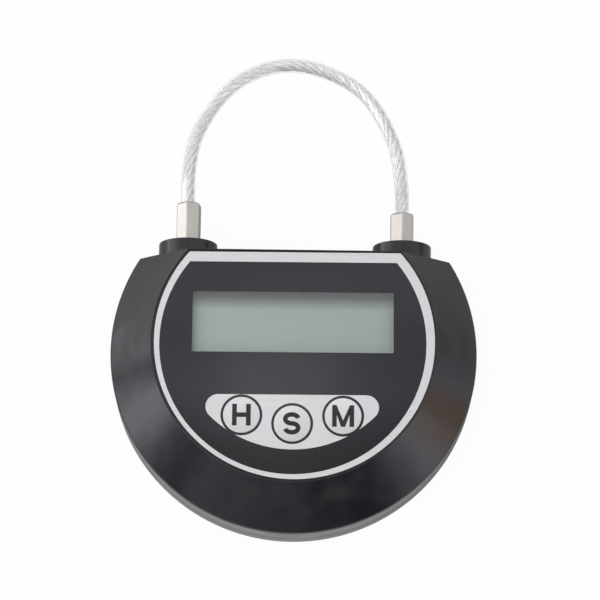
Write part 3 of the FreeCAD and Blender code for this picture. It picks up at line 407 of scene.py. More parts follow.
def grain(tree, scale, detail=3.0, stretch=(1, 1, 1)):
    """Noise in the piece's own space, from 0 to 1; scale is per metre."""
    spread = node(tree, "ShaderNodeMapping", {"Vector": place(tree), "Scale": stretch}).outputs[0]
    inputs = {"Vector": spread, "Scale": scale, "Detail": detail, "Roughness": 0.55}
    return node(tree, "ShaderNodeTexNoise", inputs).outputs["Fac"]


def between(tree, factor, low, high, start=0.35, end=0.65):
    """Runs from low to high as factor goes from start to end."""
    inputs = {"Value": factor, "From Min": start, "From Max": end, "To Min": low, "To Max": high}
    return node(tree, "ShaderNodeMapRange", inputs, clamp=True).outputs[0]


def tint(tree, factor, *ends):
    """Runs from the first end to the second with factor; each is a colour or another node's output."""
    first, second = (end if isinstance(end, bpy.types.NodeSocket) else (*end, 1) for end in ends)
    inputs = {"Factor": factor, "A": first, "B": second}
    return node(tree, "ShaderNodeMix", inputs, data_type="RGBA").outputs["Result"]


def bump(tree, height, distance):
    return node(tree, "ShaderNodeBump", {"Height": height, "Distance": distance, "Strength": 1.0}).outputs[0]


def shade(base, factor):
    return tuple(min(1.0, c * factor) for c in base)


def grained(name, base, scale, gloss, metal=0.0, vary=0.12, relief=0.0, stretch=(1, 1, 1), **sockets):
    """A finish whose colour, roughness (low, high) and relief follow one noise."""
    made, tree, shader = new_material(name)
    noise = grain(tree, scale, stretch=stretch)
    inputs = {
        "Base Color": tint(tree, between(tree, noise, 0, 1), shade(base, 1 - vary), shade(base, 1 + vary)),
        "Roughness": between(tree, noise, *gloss),
        "Metallic": metal,
    }
    if relief:
        inputs["Normal"] = bump(tree, noise, relief)
    fill(shader, inputs | {key.replace("_", " "): value for key, value in sockets.items()})
    return made


def see_through(made, alpha):
    """The finish, with this much of it left in front of what lies behind."""
    fill(made.node_tree.nodes["Principled BSDF"], {"Alpha": alpha})
    made.surface_render_method = "BLENDED"
    return made


# ================================================================ finishes
def case_plastic(base):
    """Glossy black plastic with faint flow marks that run out from the middle of the case."""
    made, tree, shader = new_material("case_plastic")
    x, y, z = split(tree)
    turn = calc(tree, "MULTIPLY", calc(tree, "ARCTAN2", y, x), 3.0)
    polar = node(tree, "ShaderNodeCombineXYZ", {"X": turn, "Y": calc(tree, "MULTIPLY", z, 40)}).outputs[0]
    flow = node(tree, "ShaderNodeTexNoise", {"Vector": polar, "Scale": 2.2, "Detail": 5.0}).outputs["Fac"]
    wide = grain(tree, 55, 2.0)
    mottle = between(tree, calc(tree, "MULTIPLY", flow, wide), 0, 1, 0.15, 0.40)
    height = calc(tree, "ADD", wide, calc(tree, "MULTIPLY", grain(tree, 2600, 2.0), 0.004))
    fill(shader, {
        "Base Color": tint(tree, mottle, shade(base, 0.9), shade(base, 1.25)),
        "Roughness": between(tree, flow, 0.13, 0.19),
        "Normal": bump(tree, height, 0.0005),
        "Specular IOR Level": 0.6,
    })
    return made


def printed_film(base):
    """Dark print seen through a smooth glossy film, with painted shade that makes it darker towards its lower
    end and lighter above.
    """
    made, tree, shader = new_material("printed_film")
    # Painted light and shade: the colour is lighter up the film and darker towards its lower end, mixed with
    # a faint random cloud.
    upper = between(tree, split(tree)["Y"], 0, 1, -0.026, -0.012)
    painted_light_and_cloud = calc(tree, "MULTIPLY", upper, between(tree, grain(tree, 40, 1.0), 0.75, 1.0))
    fill(shader, {
        "Base Color": tint(tree, painted_light_and_cloud, shade(base, 0.7), shade(base, 1.2)),
        "Roughness": between(tree, grain(tree, 1800, 2.0), 0.07, 0.10),
        "Normal": bump(tree, grain(tree, 60, 1.0), 0.00002),
    })
    return made


def silver_print(base):
    """Silver ink with faint brush lines across, under the film's gloss."""
    return grained(
        "silver_print", base, 700, (0.34, 0.42), metal=0.5, vary=0.022, relief=0.000001,
        stretch=(0.12, 3.0, 1), Coat_Weight=1.0, Coat_Roughness=0.08,
    )


def key_paint(base, centre):
    """Fine silver paint with a faint mottle, with painted light at the upper left of the cap and painted
    shade towards its lower right.
    """
    made, tree, shader = new_material("key_paint")
    x, y, _ = split(tree)
    # Painted light and shade: the cap's colour rises from its lower right to its upper left, as if lit from
    # there.
    across = calc(tree, "MULTIPLY", calc(tree, "SUBTRACT", x, centre.x), -0.3)
    along = calc(tree, "ADD", calc(tree, "SUBTRACT", y, centre.y), across)
    mottle = grain(tree, 900, 5.0)
    painted_light_slope = between(tree, along, 0.0, 0.88, -0.0045, 0.0045)
    level = calc(tree, "ADD", painted_light_slope, calc(tree, "MULTIPLY", mottle, 0.12))
    fill(shader, {
        "Base Color": tint(tree, level, shade(base, 0.88), shade(base, 1.14)),
        "Roughness": between(tree, mottle, 0.30, 0.44),
        "Normal": bump(tree, mottle, 0.000006),
        "Metallic": 0.4,
    })
    return made


def letter_ink(base):
    return grained("letter_ink", base, 1500, (0.35, 0.5), vary=0.3, Specular_IOR_Level=0.35)


def clear_window():
    return see_through(grained("clear_window", (0.93, 0.96, 0.95), 300, (0.02, 0.05), vary=0.02), 0.10)


def display_glass():
    return see_through(grained("display_glass", (0.80, 0.86, 0.82), 200, (0.03, 0.06), vary=0.02), 0.25)


def display_face(base):
    """The blank display: grey-green, with painted shadow along its top and sides where the window's edge
    holds back the light, and painted light along its lower edge.
    """
    made, tree, shader = new_material("display_face")
    x, y, _ = split(tree)
    # Painted shadow: dark bands along the top and sides, where the window's edge would shade the display.
    left = between(tree, x, 0.25, 0, -0.0245, -0.0230)
    right = between(tree, x, 0, 0.22, 0.0222, 0.0240)
    top = between(tree, y, 0, 1, 0.0088, 0.0119)
    painted_shadow = calc(tree, "MAXIMUM", top, calc(tree, "MAXIMUM", left, right))
    painted_shadow = calc(tree, "ADD", painted_shadow, between(tree, grain(tree, 60, 2.0), 0, 0.05))
    bluer = (base[0] * 0.92, base[1] * 0.90, base[2])
    even = tint(tree, between(tree, x, 0, 1, -0.010, 0.022), base, bluer)
    # Painted light: the colour is lifted along the display's lower edge.
    painted_light_lower_edge = tint(tree, between(tree, y, 0.9, 0, -0.0021, -0.0006), even, shade(base, 1.5))
    fill(shader, {
        "Base Color": tint(tree, painted_shadow, painted_light_lower_edge, (0.002, 0.002, 0.010)),
        "Roughness": between(tree, grain(tree, 3000, 1.0), 0.30, 0.42),
    })
    return made


def nickel_plate(base):
    """Bright nickel on drawn hexagon bar."""
    return grained(
        "nickel_plate", base, 900, (0.28, 0.40), metal=1.0, vary=0.06, relief=0.000003, stretch=(1, 0.2, 1)
    )


def rope_wire(base):
    return grained("rope_wire", base, 700, (0.26, 0.36), metal=0.6, vary=0.05)


def rope_coat(base):
    """A clear plastic coat, seen mostly by its gloss and its milky edges."""
    made = grained("rope_coat", base, 220, (0.12, 0.25), vary=0.03, relief=0.000003)
    rim = node(made.node_tree, "ShaderNodeLayerWeight", {"Blend": 0.35}).outputs["Facing"]
    return see_through(made, between(made.node_tree, rim, 0.10, 0.60, 0.35, 1.0))


def circuit_board():
    """Green solder mask over faint copper tracks."""
    made, tree, shader = new_material("circuit_board")
    bricks = {"Scale": 260.0, "Mortar Size": 0.16, "Brick Width": 1.7, "Row Height": 0.45}
    bricks["Vector"] = place(tree)
    tracks = node(tree, "ShaderNodeTexBrick", bricks, offset=0.5).outputs["Fac"]
    speck = grain(tree, 900, 3.0)
    factor = calc(tree, "MULTIPLY", tracks, between(tree, speck, 0.4, 1.0))
    fill(shader, {
        "Base Color": tint(tree, factor, (0.008, 0.075, 0.028), (0.03, 0.16, 0.06)),
        "Roughness": between(tree, speck, 0.25, 0.4),
        "Normal": bump(tree, tracks, 0.00002),
    })
    return made


def cell_jacket():
    """A plain printed jacket: dark, with copper-coloured ends."""
    made, tree, shader = new_material("cell_jacket")
    ends = calc(tree, "GREATER_THAN", calc(tree, "ABSOLUTE", split(tree)["X"]), 0.0125)
    fill(shader, {
        "Base Color": tint(tree, ends, (0.03, 0.05, 0.075), (0.46, 0.27, 0.13)),
        "Roughness": between(tree, grain(tree, 600, 2.0), 0.22, 0.34),
        "Metallic": 0.5,
    })
    return made


# The finishes with one plain grain, by slot: name, colour, grain per metre, roughness, what else they have.
PLAIN_FINISHES = {
    "key_silver": ("key_skirt", (0.012, 0.012, 0.013), 1500, (0.45, 0.6), {"vary": 0.2}),
    "lcd_film": ("display_back", (0.50, 0.56, 0.51), 2500, (0.35, 0.5), {"metal": 0.3}),
    "tinned_leads": ("spring_steel", (0.72, 0.72, 0.70), 1800, (0.22, 0.38), {"metal": 1.0}),
    "zinc_screws": ("zinc_plate", (0.66, 0.67, 0.68), 1400, (0.28, 0.45), {"metal": 1.0, "relief": 0.000005}),
    "chip_black": ("chip_epoxy", (0.025, 0.025, 0.027), 3500, (0.45, 0.6), {"vary": 0.25, "relief": 0.00001}),
    "plunger_white": (
        "white_acetal", (0.72, 0.71, 0.67), 900, (0.35, 0.5), {"vary": 0.05, "Subsurface_Weight": 0.1}
    ),
    "crystal_can": (
        "drawn_can", (0.68, 0.68, 0.69), 1200, (0.2, 0.34), {"metal": 1.0, "stretch": (1, 0.1, 1)}
    ),
    "pin_steel": (
        "turned_steel", (0.62, 0.62, 0.63), 900, (0.25, 0.31),
        {"metal": 1.0, "vary": 0.04, "stretch": (0.1, 3, 0.1)},
    ),
    "gear_brass": (
        "machined_brass", (0.72, 0.52, 0.22), 1600, (0.22, 0.36), {"metal": 1.0, "relief": 0.000004}
    ),
    "gearbox_plastic": (
        "gearbox_nylon", (0.05, 0.05, 0.055), 1100, (0.4, 0.55), {"vary": 0.2, "relief": 0.00001}
    ),
}


def plain_finish(slot):
    name, base, scale, gloss, rest = PLAIN_FINISHES[slot]
    return grained(name, base, scale, gloss, **rest)


# ================================================================ shackle
def curve_mesh(name, kind, paths, **settings):
    """The mesh of a curve that has a spline along each path."""
    data = bpy.data.curves.new(name, "CURVE")
    data.dimensions = "3D"
    for key, value in settings.items():
        setattr(data, key, value)
    for path in paths:
        spline = data.splines.new(kind)
        spline.points.add(len(path) - 1)
        for point, spot in zip(spline.points, path):
            point.co = (*spot, 1)
        spline.order_u = 3
        spline.use_endpoint_u = True
    holder = add(name, data)
    mesh = final_mesh(holder)
    bpy.data.objects.remove(holder)
    return mesh


def tubes(name, paths, radius, resolution):
    """One piece of round tubes along the paths, with closed ends."""
    ends = {"bevel_depth": radius, "bevel_resolution": resolution, "use_fill_caps": True}
    return add(name, curve_mesh(name, "POLY", paths, **ends))


def stations(points, spacing):
    """Evenly spaced (point, tangent, distance) along a line of points."""
    lengths = [(b - a).length for a, b in zip(points, points[1:])]
    total = sum(lengths)
    count = max(2, round(total / spacing))
    found = []
    leg = 0
    passed = 0.0
    for k in range(count + 1):
        want = total * k / count
        while leg < len(lengths) - 1 and passed + lengths[leg] < want:
            passed += lengths[leg]
            leg += 1
        ahead = points[leg + 1] - points[leg]
        found.append((points[leg] + ahead * ((want - passed) / lengths[leg]), ahead.normalized(), want))
    return found


def frames_about(points):
    """(point, side, up, distance) along a chain of points, with the side turned as little as can be."""
    found = []
    side = None
    distance = 0.0
    for k, point in enumerate(points):
        ahead = (points[min(len(points) - 1, k + 1)] - points[max(0, k - 1)]).normalized()
        side = ahead.orthogonal() if side is None else side
        side = (side - ahead * side.dot(ahead)).normalized()
        if k:
            distance += (point - points[k - 1]).length
        found.append((point, side, ahead.cross(side), distance))
    return found


def helix(frames, offset, lay, start):
    """A coil about a line of (point, side, up, distance); start is a share of a turn."""
    points = []
    for point, side, up, distance in frames:
        angle = 2 * math.pi * (start + distance / lay)
        points.append(point + (side * math.cos(angle) + up * math.sin(angle)) * offset)
    return points


class PADLOCK_OT_rope(bpy.types.Operator):
    """Makes the wire rope with its twisted strands, and the clear coat round it"""

    bl_idname = "padlock.rope"
    bl_label = "Wire rope"

    strand_spacing = 0.0006
    coat_spacing = 0.001
    wire_fill = 1.12  # the wires are this much thicker than their share, so that no gap shows
    core_fill = 1.05

    def execute(self, context):
        sizes = context.scene.padlock_shackle
        route = [(x, y, ROPE_Z) for x, y in ROPE_ROUTE]
        line = [v.co.copy() for v in curve_mesh("rope_line", "NURBS", [route], resolution_u=32).vertices]
        path = stations(line, self.strand_spacing)
        up = Vector((0, 0, 1))
        middle = [(point, up.cross(ahead), up, distance) for point, ahead, distance in path]
        strand_radius = sizes.core_radius / 3
        wire_radius = strand_radius / 3
        chains = []
        for strand in range(sizes.strands):
            frames = frames_about(helix(middle, 2 * strand_radius, sizes.lay, strand / sizes.strands))
            for wire in range(sizes.wires):
                chains.append(helix(frames, 2 * wire_radius, sizes.strand_lay, wire / sizes.wires))
        wires = tubes("rope_wires", chains, wire_radius * self.wire_fill, 1)
        core = tubes("rope_core", [[p for p, _, _ in path]], strand_radius * self.core_fill, 2)
        evenly = [p for p, _, _ in stations(line, self.coat_spacing)]
        coat = tubes("rope_coat", [evenly], sizes.coat_radius, 6)
        steel = rope_wire(sizes.steel)
        for made, finish in ((wires, steel), (core, steel), (coat, rope_coat(sizes.coat))):
            paint(made, finish)
            soften(made, 50)
            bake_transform(made)
        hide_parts("shackle_rope")
        return {"FINISHED"}


class PADLOCK_OT_ferrules(bpy.types.Operator):
    """Makes the two hexagonal ferrules that hold the rope's ends"""

    bl_idname = "padlock.ferrules"
    bl_label = "Ferrules"

    across_flats = 0.0055
    end_edge = 0.00045
    corner_edge = 0.00028
    rope_bore = (0.00200, 0.0033)  # radius and depth
    pin_bore = (0.00155, 0.0032)
    plug_turn = -7.5  # the plug's hexagon is turned by this much, in degrees

    def ferrule(self, name, turn):
        low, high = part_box(name)
        centre = (low + high) / 2
        bm = shape(cylinder, 1, centre, self.across_flats / math.sqrt(3), low.y, high.y, 6)
        corner = max(bm.verts, key=lambda v: v.co.z).co
        start = math.atan2(corner.x - centre.x, corner.z - centre.z)
        turned = Matrix.Rotation(math.radians(turn) - start, 3, "Y")
        bmesh.ops.rotate(bm, verts=bm.verts, cent=centre, matrix=turned)
        bevel(bm, [e for e in bm.edges if span(e, 1) < SAME], self.end_edge, 1)
        long_edges = [e for e in sharp_edges(bm, 50) if span(e, 1) > (high.y - low.y) / 2]
        bevel(bm, long_edges, self.corner_edge, 3)
        made = link(f"{name}_hex", bm)
        radius, depth = self.rope_bore
        upper = shape(cylinder, 1, centre, radius, high.y - depth, high.y + OVERSHOOT)
        radius, depth = self.pin_bore
        carve(made, "DIFFERENCE", upper, shape(cylinder, 1, centre, radius, low.y - OVERSHOOT, low.y + depth))
        return made

    def execute(self, context):
        finish = nickel_plate(context.scene.padlock_shackle.nickel)
        for part, body, turn in (("plug_ferrule", "plug", self.plug_turn), ("anchor_ferrule", "case", 0)):
            dress(self.ferrule(part, turn), body, finish, "ferrule_nickel", part, degrees=25)
        return {"FINISHED"}


class PADLOCK_OT_plug_pin(bpy.types.Operator):
    """Turns the plug's pin, with its tapered tip and the groove for the bolt"""

    bl_idname = "padlock.plug_pin"
    bl_label = "Plug pin"

    radius = 0.0024
    groove_r = 0.0017
    groove = (0.0025, 0.0049)  # from and to, above the tip
    spigot_r = 0.0015
    tip = 0.0008
    edge = 0.0002

    def execute(self, context):
        low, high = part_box("plug_pin")
        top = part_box("plug_ferrule")[0].y
        near, far = (low.y + rise for rise in self.groove)
        tip_r = self.radius - self.tip
        soft = self.edge / 2
        profile = [
            (0, low.y), (tip_r - self.edge, low.y), (tip_r, low.y + self.edge),
            (self.radius, low.y + self.tip + self.edge), (self.radius, near - soft),
            (self.radius - soft, near), (self.groove_r, near), (self.groove_r, far),
            (self.radius - soft, far), (self.radius, far + soft), (self.radius, top),
            (self.spigot_r, top), (self.spigot_r, high.y), (0, high.y),
        ]
        made = link("plug_pin_turned", shape(lathe, 1, (low + high) / 2, profile))
        dress(made, "plug", plain_finish("pin_steel"), "pin_steel", "plug_pin", degrees=25)
        return {"FINISHED"}


# ================================================================ case
def room(case, inset, low_z, top_z):
    """Levels of the case's inner space, this far inside its walls."""
    slope = (case.radius - case.panel_radius) / (HIGH.z - case.rim_z)
    knee = case.rim_z - case.wall * (math.hypot(slope, 1) - 1) / slope - inset / 2
    radius = case.radius - case.wall - inset
    lean = case.panel_y * (top_z - case.rim_z) / (HIGH.z - case.rim_z)
    return [(low_z, radius, 0), (knee, radius, 0), (top_z, radius - (top_z - knee) * slope, lean)]


def key_places():
    """Each key's letter, middle and top."""
    boxes = [(letter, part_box(f"key_cap_{letter}")) for letter in "hsm"]
    return [(letter, (low + high) / 2, high.z) for letter, (low, high) in boxes]


class PADLOCK_OT_front_shell(bpy.types.Operator):
    """Makes the front shell: slope, recess, window, key holes and the two sockets"""

    bl_idname = "padlock.front_shell"
    bl_label = "Front shell"

    floor_t = 0.0013  # wall under the overlay
    top_land = 0.00025  # rim left between the recess and the flat top
    window_x = -0.0001
    sill = 0.0003  # the opening is wider than the overlay's window by this much, all round
    lens_gap = 0.0001
    bore_gap = 0.00005
    bore_foot = 0.0105  # where the sockets' bores start, above the case's centre
    foot_zone = 0.0004  # edges this close to a socket's foot stay sharp

    def outer_edges(self, bm, case):
        """The sharp outer edges, without those where the sockets stand on the flat top."""

        def clear(v):
            from_socket = math.hypot(abs(v.co.x) - case.boss_x, v.co.z - case.boss_z)
            return from_socket > case.boss_radius + self.foot_zone or v.co.y < case.flat_y - NEAR

        return [
            e
            for e in sharp_edges(bm, 25)
            if max(v.co.y for v in e.verts) < case.flat_y + NEAR and all(clear(v) for v in e.verts)
        ]

    def level_edges(self, bm, case, z):
        return [e for e in self.outer_edges(bm, case) if all(abs(v.co.z - z) < NEAR for v in e.verts)]

    def execute(self, context):
        case = context.scene.padlock_case
        face = context.scene.padlock_face
        keys = context.scene.padlock_keys
        inner_y = case.flat_y - case.wall
        levels = [(case.parting_z, case.radius, 0), (case.rim_z, case.radius, 0)]
        levels.append((HIGH.z, case.panel_radius, case.panel_y))
        made = link("front_shell_moulding", shape(stack, levels, case.flat_y))
        middles = [(side * case.boss_x, 0, case.boss_z) for side in (-1, 1)]
        sockets = []
        for middle in middles:
            socket = shape(cylinder, 1, middle, case.boss_radius, inner_y, case.boss_top, SOCKET_STEPS)
            end = [e for e in socket.edges if min(v.co.y for v in e.verts) > case.boss_top - SAME]
            bevel(socket, end, case.edge)
            sockets.append(socket)
        carve(made, "UNION", *sockets)
        bm = reopened(made)
        bevel(bm, self.level_edges(bm, case, case.rim_z), case.rim_edge, 4)
        bevel(bm, self.level_edges(bm, case, case.parting_z), case.groove, 2)
        bevel(bm, self.outer_edges(bm, case), case.edge)
        bm.to_mesh(made.data)
        bm.free()
        recess_z = HIGH.z - face.recess_depth
        ceiling = recess_z - self.floor_t
        hollow = shape(stack, room(case, 0, case.parting_z - OVERSHOOT, ceiling), inner_y)
        levels = [(z, face.recess_radius, case.panel_y) for z in (recess_z, HIGH.z + OVERSHOOT)]
        recess = shape(stack, levels, case.flat_y - self.top_land)
        half_w = face.window_half_w + self.sill
        half_h = face.window_half_h + self.sill
        low = (self.window_x - half_w, face.window_y - half_h, ceiling - OVERSHOOT)
        window = shape(block, low, (self.window_x + half_w, face.window_y + half_h, HIGH.z))
        low = LENS_LOW - Vector((self.lens_gap, self.lens_gap, 0))
        seat = shape(block, low, (LENS_HIGH.x + self.lens_gap, LENS_HIGH.y + self.lens_gap, HIGH.z))
        radius = keys.radius + keys.hole_gap
        holes = [shape(cylinder, 2, spot, radius, ceiling - OVERSHOOT, HIGH.z) for _, spot, _ in key_places()]
        radius = case.bore_radius + self.bore_gap
        top = case.boss_top + OVERSHOOT
        bores = [shape(cylinder, 1, spot, radius, self.bore_foot, top) for spot in middles]
        carve(made, "DIFFERENCE", hollow, recess, window, seat, *holes, *bores)
        dress(made, "case", case_plastic(case.plastic), "black_shell", "front_shell", degrees=30)
        return {"FINISHED"}


class PADLOCK_OT_back_shell(bpy.types.Operator):
    """Makes the back shell with its battery tub, door recess and screw wells"""

    bl_idname = "padlock.back_shell"
    bl_label = "Back shell"

    edge = 0.0006  # chamfer round the back face
    side_gap = 0.0001  # the side wall is thicker than the floor by this much
    pad_r = 0.00335  # the pads under the case screws
    pad = (0.0005, 0.0034)  # from and to, in height
    hole_r = 0.00125
    well_gap = 0.0003  # round a screw's head
    tub_t = 0.001  # wall of the battery tub
    tub_gap = 0.0004  # tub to the case's inner space
    tub_sink = 0.0002  # how far the tub reaches into the floor
    tub_reach = (0.0012, 0.0015)  # past the door, sideways and below
    bay_reach = (0.0002, 0.0004)  # the same for the space in the tub
    bay_top = -0.01033  # upper edge of that space, towards the shackle
    door_gap = 0.00025
    recess_top = 0.0023

    def in_case(self, case, name, low, high, inset, foot):
        """The box between two corners, as far as it lies in the case's inner space."""
        made = link(name, shape(block, low, high))
        carve(made, "INTERSECT", shape(stack, room(case, inset, foot, BACK_HIGH.z + OVERSHOOT), case.flat_y))
        bm = reopened(made)
        bpy.data.objects.remove(made)
        return bm

    def at_screws(self, radius, low_z, high_z):
        """A cylinder at each of the four case screws."""
        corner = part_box("case_screws")[1] - Vector((SCREW_HEAD_R, SCREW_HEAD_R, 0))
        spots = [(sx * corner.x, sy * corner.y, 0) for sx in (-1, 1) for sy in (-1, 1)]
        return [shape(cylinder, 2, spot, radius, low_z, high_z) for spot in spots]

    def execute(self, context):
        case = context.scene.padlock_case
        levels = [(z, case.radius, 0) for z in (self.edge, case.parting_z)]
        disc = shape(stack, [(0, case.radius - self.edge, 0), *levels], case.flat_y)
        rim = [e for e in sharp_edges(disc, 40) if min(v.co.z for v in e.verts) > self.edge]
        bevel(disc, rim, case.groove, 2)
        made = link("back_shell_moulding", disc)
        inner = case.radius - case.wall - self.side_gap
        levels = [(case.wall, inner, 0), (case.parting_z + OVERSHOOT, inner, 0)]
        carve(made, "DIFFERENCE", shape(stack, levels, case.flat_y - case.wall))
        carve(made, "UNION", *self.at_screws(self.pad_r, *self.pad))
        side, below = self.tub_reach
        low = (DOOR_LOW.x - side, DOOR_LOW.y - below, case.wall - self.tub_sink)
        high = (DOOR_HIGH.x + side, self.bay_top + self.tub_t, BACK_HIGH.z)
        carve(made, "UNION", self.in_case(case, "tub", low, high, self.tub_gap, -OVERSHOOT))
        side, below = self.bay_reach
        low = (DOOR_LOW.x - side, DOOR_LOW.y - below, -OVERSHOOT)
        high = (DOOR_HIGH.x + side, self.bay_top, BACK_HIGH.z - self.tub_t)
        bay = self.in_case(case, "cavity", low, high, self.tub_gap + self.tub_t, -2 * OVERSHOOT)
        low = (DOOR_LOW.x - self.door_gap, DOOR_LOW.y - self.door_gap, -OVERSHOOT)
        recess = shape(block, low, (DOOR_HIGH.x + self.door_gap, self.bay_top, self.recess_top))
        wells = self.at_screws(SCREW_HEAD_R + self.well_gap, -OVERSHOOT, case.wall)
        holes = self.at_screws(self.hole_r, 0, self.pad[1] + OVERSHOOT)
        carve(made, "DIFFERENCE", bay, recess, *wells, *holes)
        dress(made, "case", case_plastic(case.plastic), "black_shell", "back_shell", degrees=30)
        return {"FINISHED"}


# ================================================================ face
class PADLOCK_OT_overlay(bpy.types.Operator):
    """Makes the printed overlay: dark film, silver border and silver key field"""

    bl_idname = "padlock.overlay"
    bl_label = "Overlay"

    key_field_r = 0.0278
    key_field_y = 0.00209
    key_field_x = -0.0002
    key_field_top = -0.0125
    key_field_corner = 0.0030
    corner_steps = 16
    field_steps = 72
    window_x = -0.0002
    window_corner = 0.0004
    border_top = 0.02238
    border_outer = (0.00018, 0.00052)  # middle of its outer edge
    border_inner = (-0.00019, 0.00005)
    cap_clearance = 0.00010
    print_turn = 0.22  # the printing's turn on the case, in degrees

    def film_disc(self, radius, middle, top, low_z, high_z):
        disc = shape(stack, [(low_z, radius, middle[1]), (high_z, radius, middle[1])], top)
        bmesh.ops.translate(disc, vec=(middle[0], 0, 0), verts=disc.verts)
        return disc

    def key_holes(self, radius, low_z, high_z):
        return [shape(cylinder, 2, centre, radius, low_z, high_z, KEY_STEPS) for _, centre, _ in key_places()]

    def turned(self, bm):
        """The shape, turned as the printing is."""
        turn = Matrix.Rotation(math.radians(self.print_turn), 3, "Z")
        bmesh.ops.rotate(bm, verts=bm.verts, cent=(0, 0, 0), matrix=turn)
        return bm

    def key_field(self, z):
        """The curved silver field behind the keys, with rounded ends."""
        corner = self.key_field_corner
        reach = self.key_field_r - corner
        drop = self.key_field_top - corner - self.key_field_y
        across = math.sqrt(reach**2 - drop**2)
        lean = math.degrees(math.atan2(drop, across))
        bm = bmesh.new()
        right = Vector((self.key_field_x + across, self.key_field_top - corner, z))
        left = Vector((self.key_field_x - across, self.key_field_top - corner, z))
        start = bm.verts.new((right.x, self.key_field_top, z))
        last = arc(bm, start, right, lean - 90, self.corner_steps)
        last = arc(bm, last, (self.key_field_x, self.key_field_y, z), -180 - 2 * lean, self.field_steps)
        last = arc(bm, last, left, lean - 90, self.corner_steps)
        bm.edges.new((last, start))
        return raised(bm)

    def execute(self, context):
        face = context.scene.padlock_face
        keys = context.scene.padlock_keys
        panel_middle = (0, context.scene.padlock_case.panel_y)
        low_z = OVERLAY_LOW.z
        top_z = OVERLAY_HIGH.z
        beyond = top_z + OVERSHOOT
        disc = self.film_disc(face.overlay_radius, panel_middle, OVERLAY_HIGH.y, low_z, top_z)
        film = link("overlay_film", disc)
        half = Vector((face.window_half_w, face.window_half_h))
        centre = Vector((self.window_x, face.window_y))
        corners = (*(centre - half), low_z - OVERSHOOT), (*(centre + half), beyond)
        window = self.turned(shape(plate, *corners, self.window_corner))
        caps = self.key_holes(keys.radius + self.cap_clearance, low_z - OVERSHOOT, beyond)
        carve(film, "DIFFERENCE", window, *caps)
        dress(film, "case", printed_film(face.film), "overlay_print", "front_overlay")
        silver = silver_print(face.silver)
        outer = self.film_disc(face.ring_outer, self.border_outer, self.border_top, top_z, top_z + PRINT_T)
        border = link("overlay_border", self.turned(outer))
        inner = self.film_disc(face.ring_inner, self.border_inner, face.ring_top, top_z - OVERSHOOT, beyond)
        carve(border, "DIFFERENCE", self.turned(inner))
        dress(border, "case", silver, "overlay_print")
        field = link("overlay_key_field", self.turned(self.key_field(top_z)))
        carve(field, "DIFFERENCE", *self.key_holes(keys.radius + keys.hole_gap, top_z - OVERSHOOT, beyond))
        dress(field, "case", silver, "overlay_print")
        return {"FINISHED"}


class PADLOCK_OT_display(bpy.types.Operator):
    """Gives the display's film its grey-green face"""

    bl_idname = "padlock.display"
    bl_label = "Display"

    def execute(self, context):
        paint(frame["nodes"]["lcd_polarizer"], display_face(context.scene.padlock_face.display))
        return {"FINISHED"}


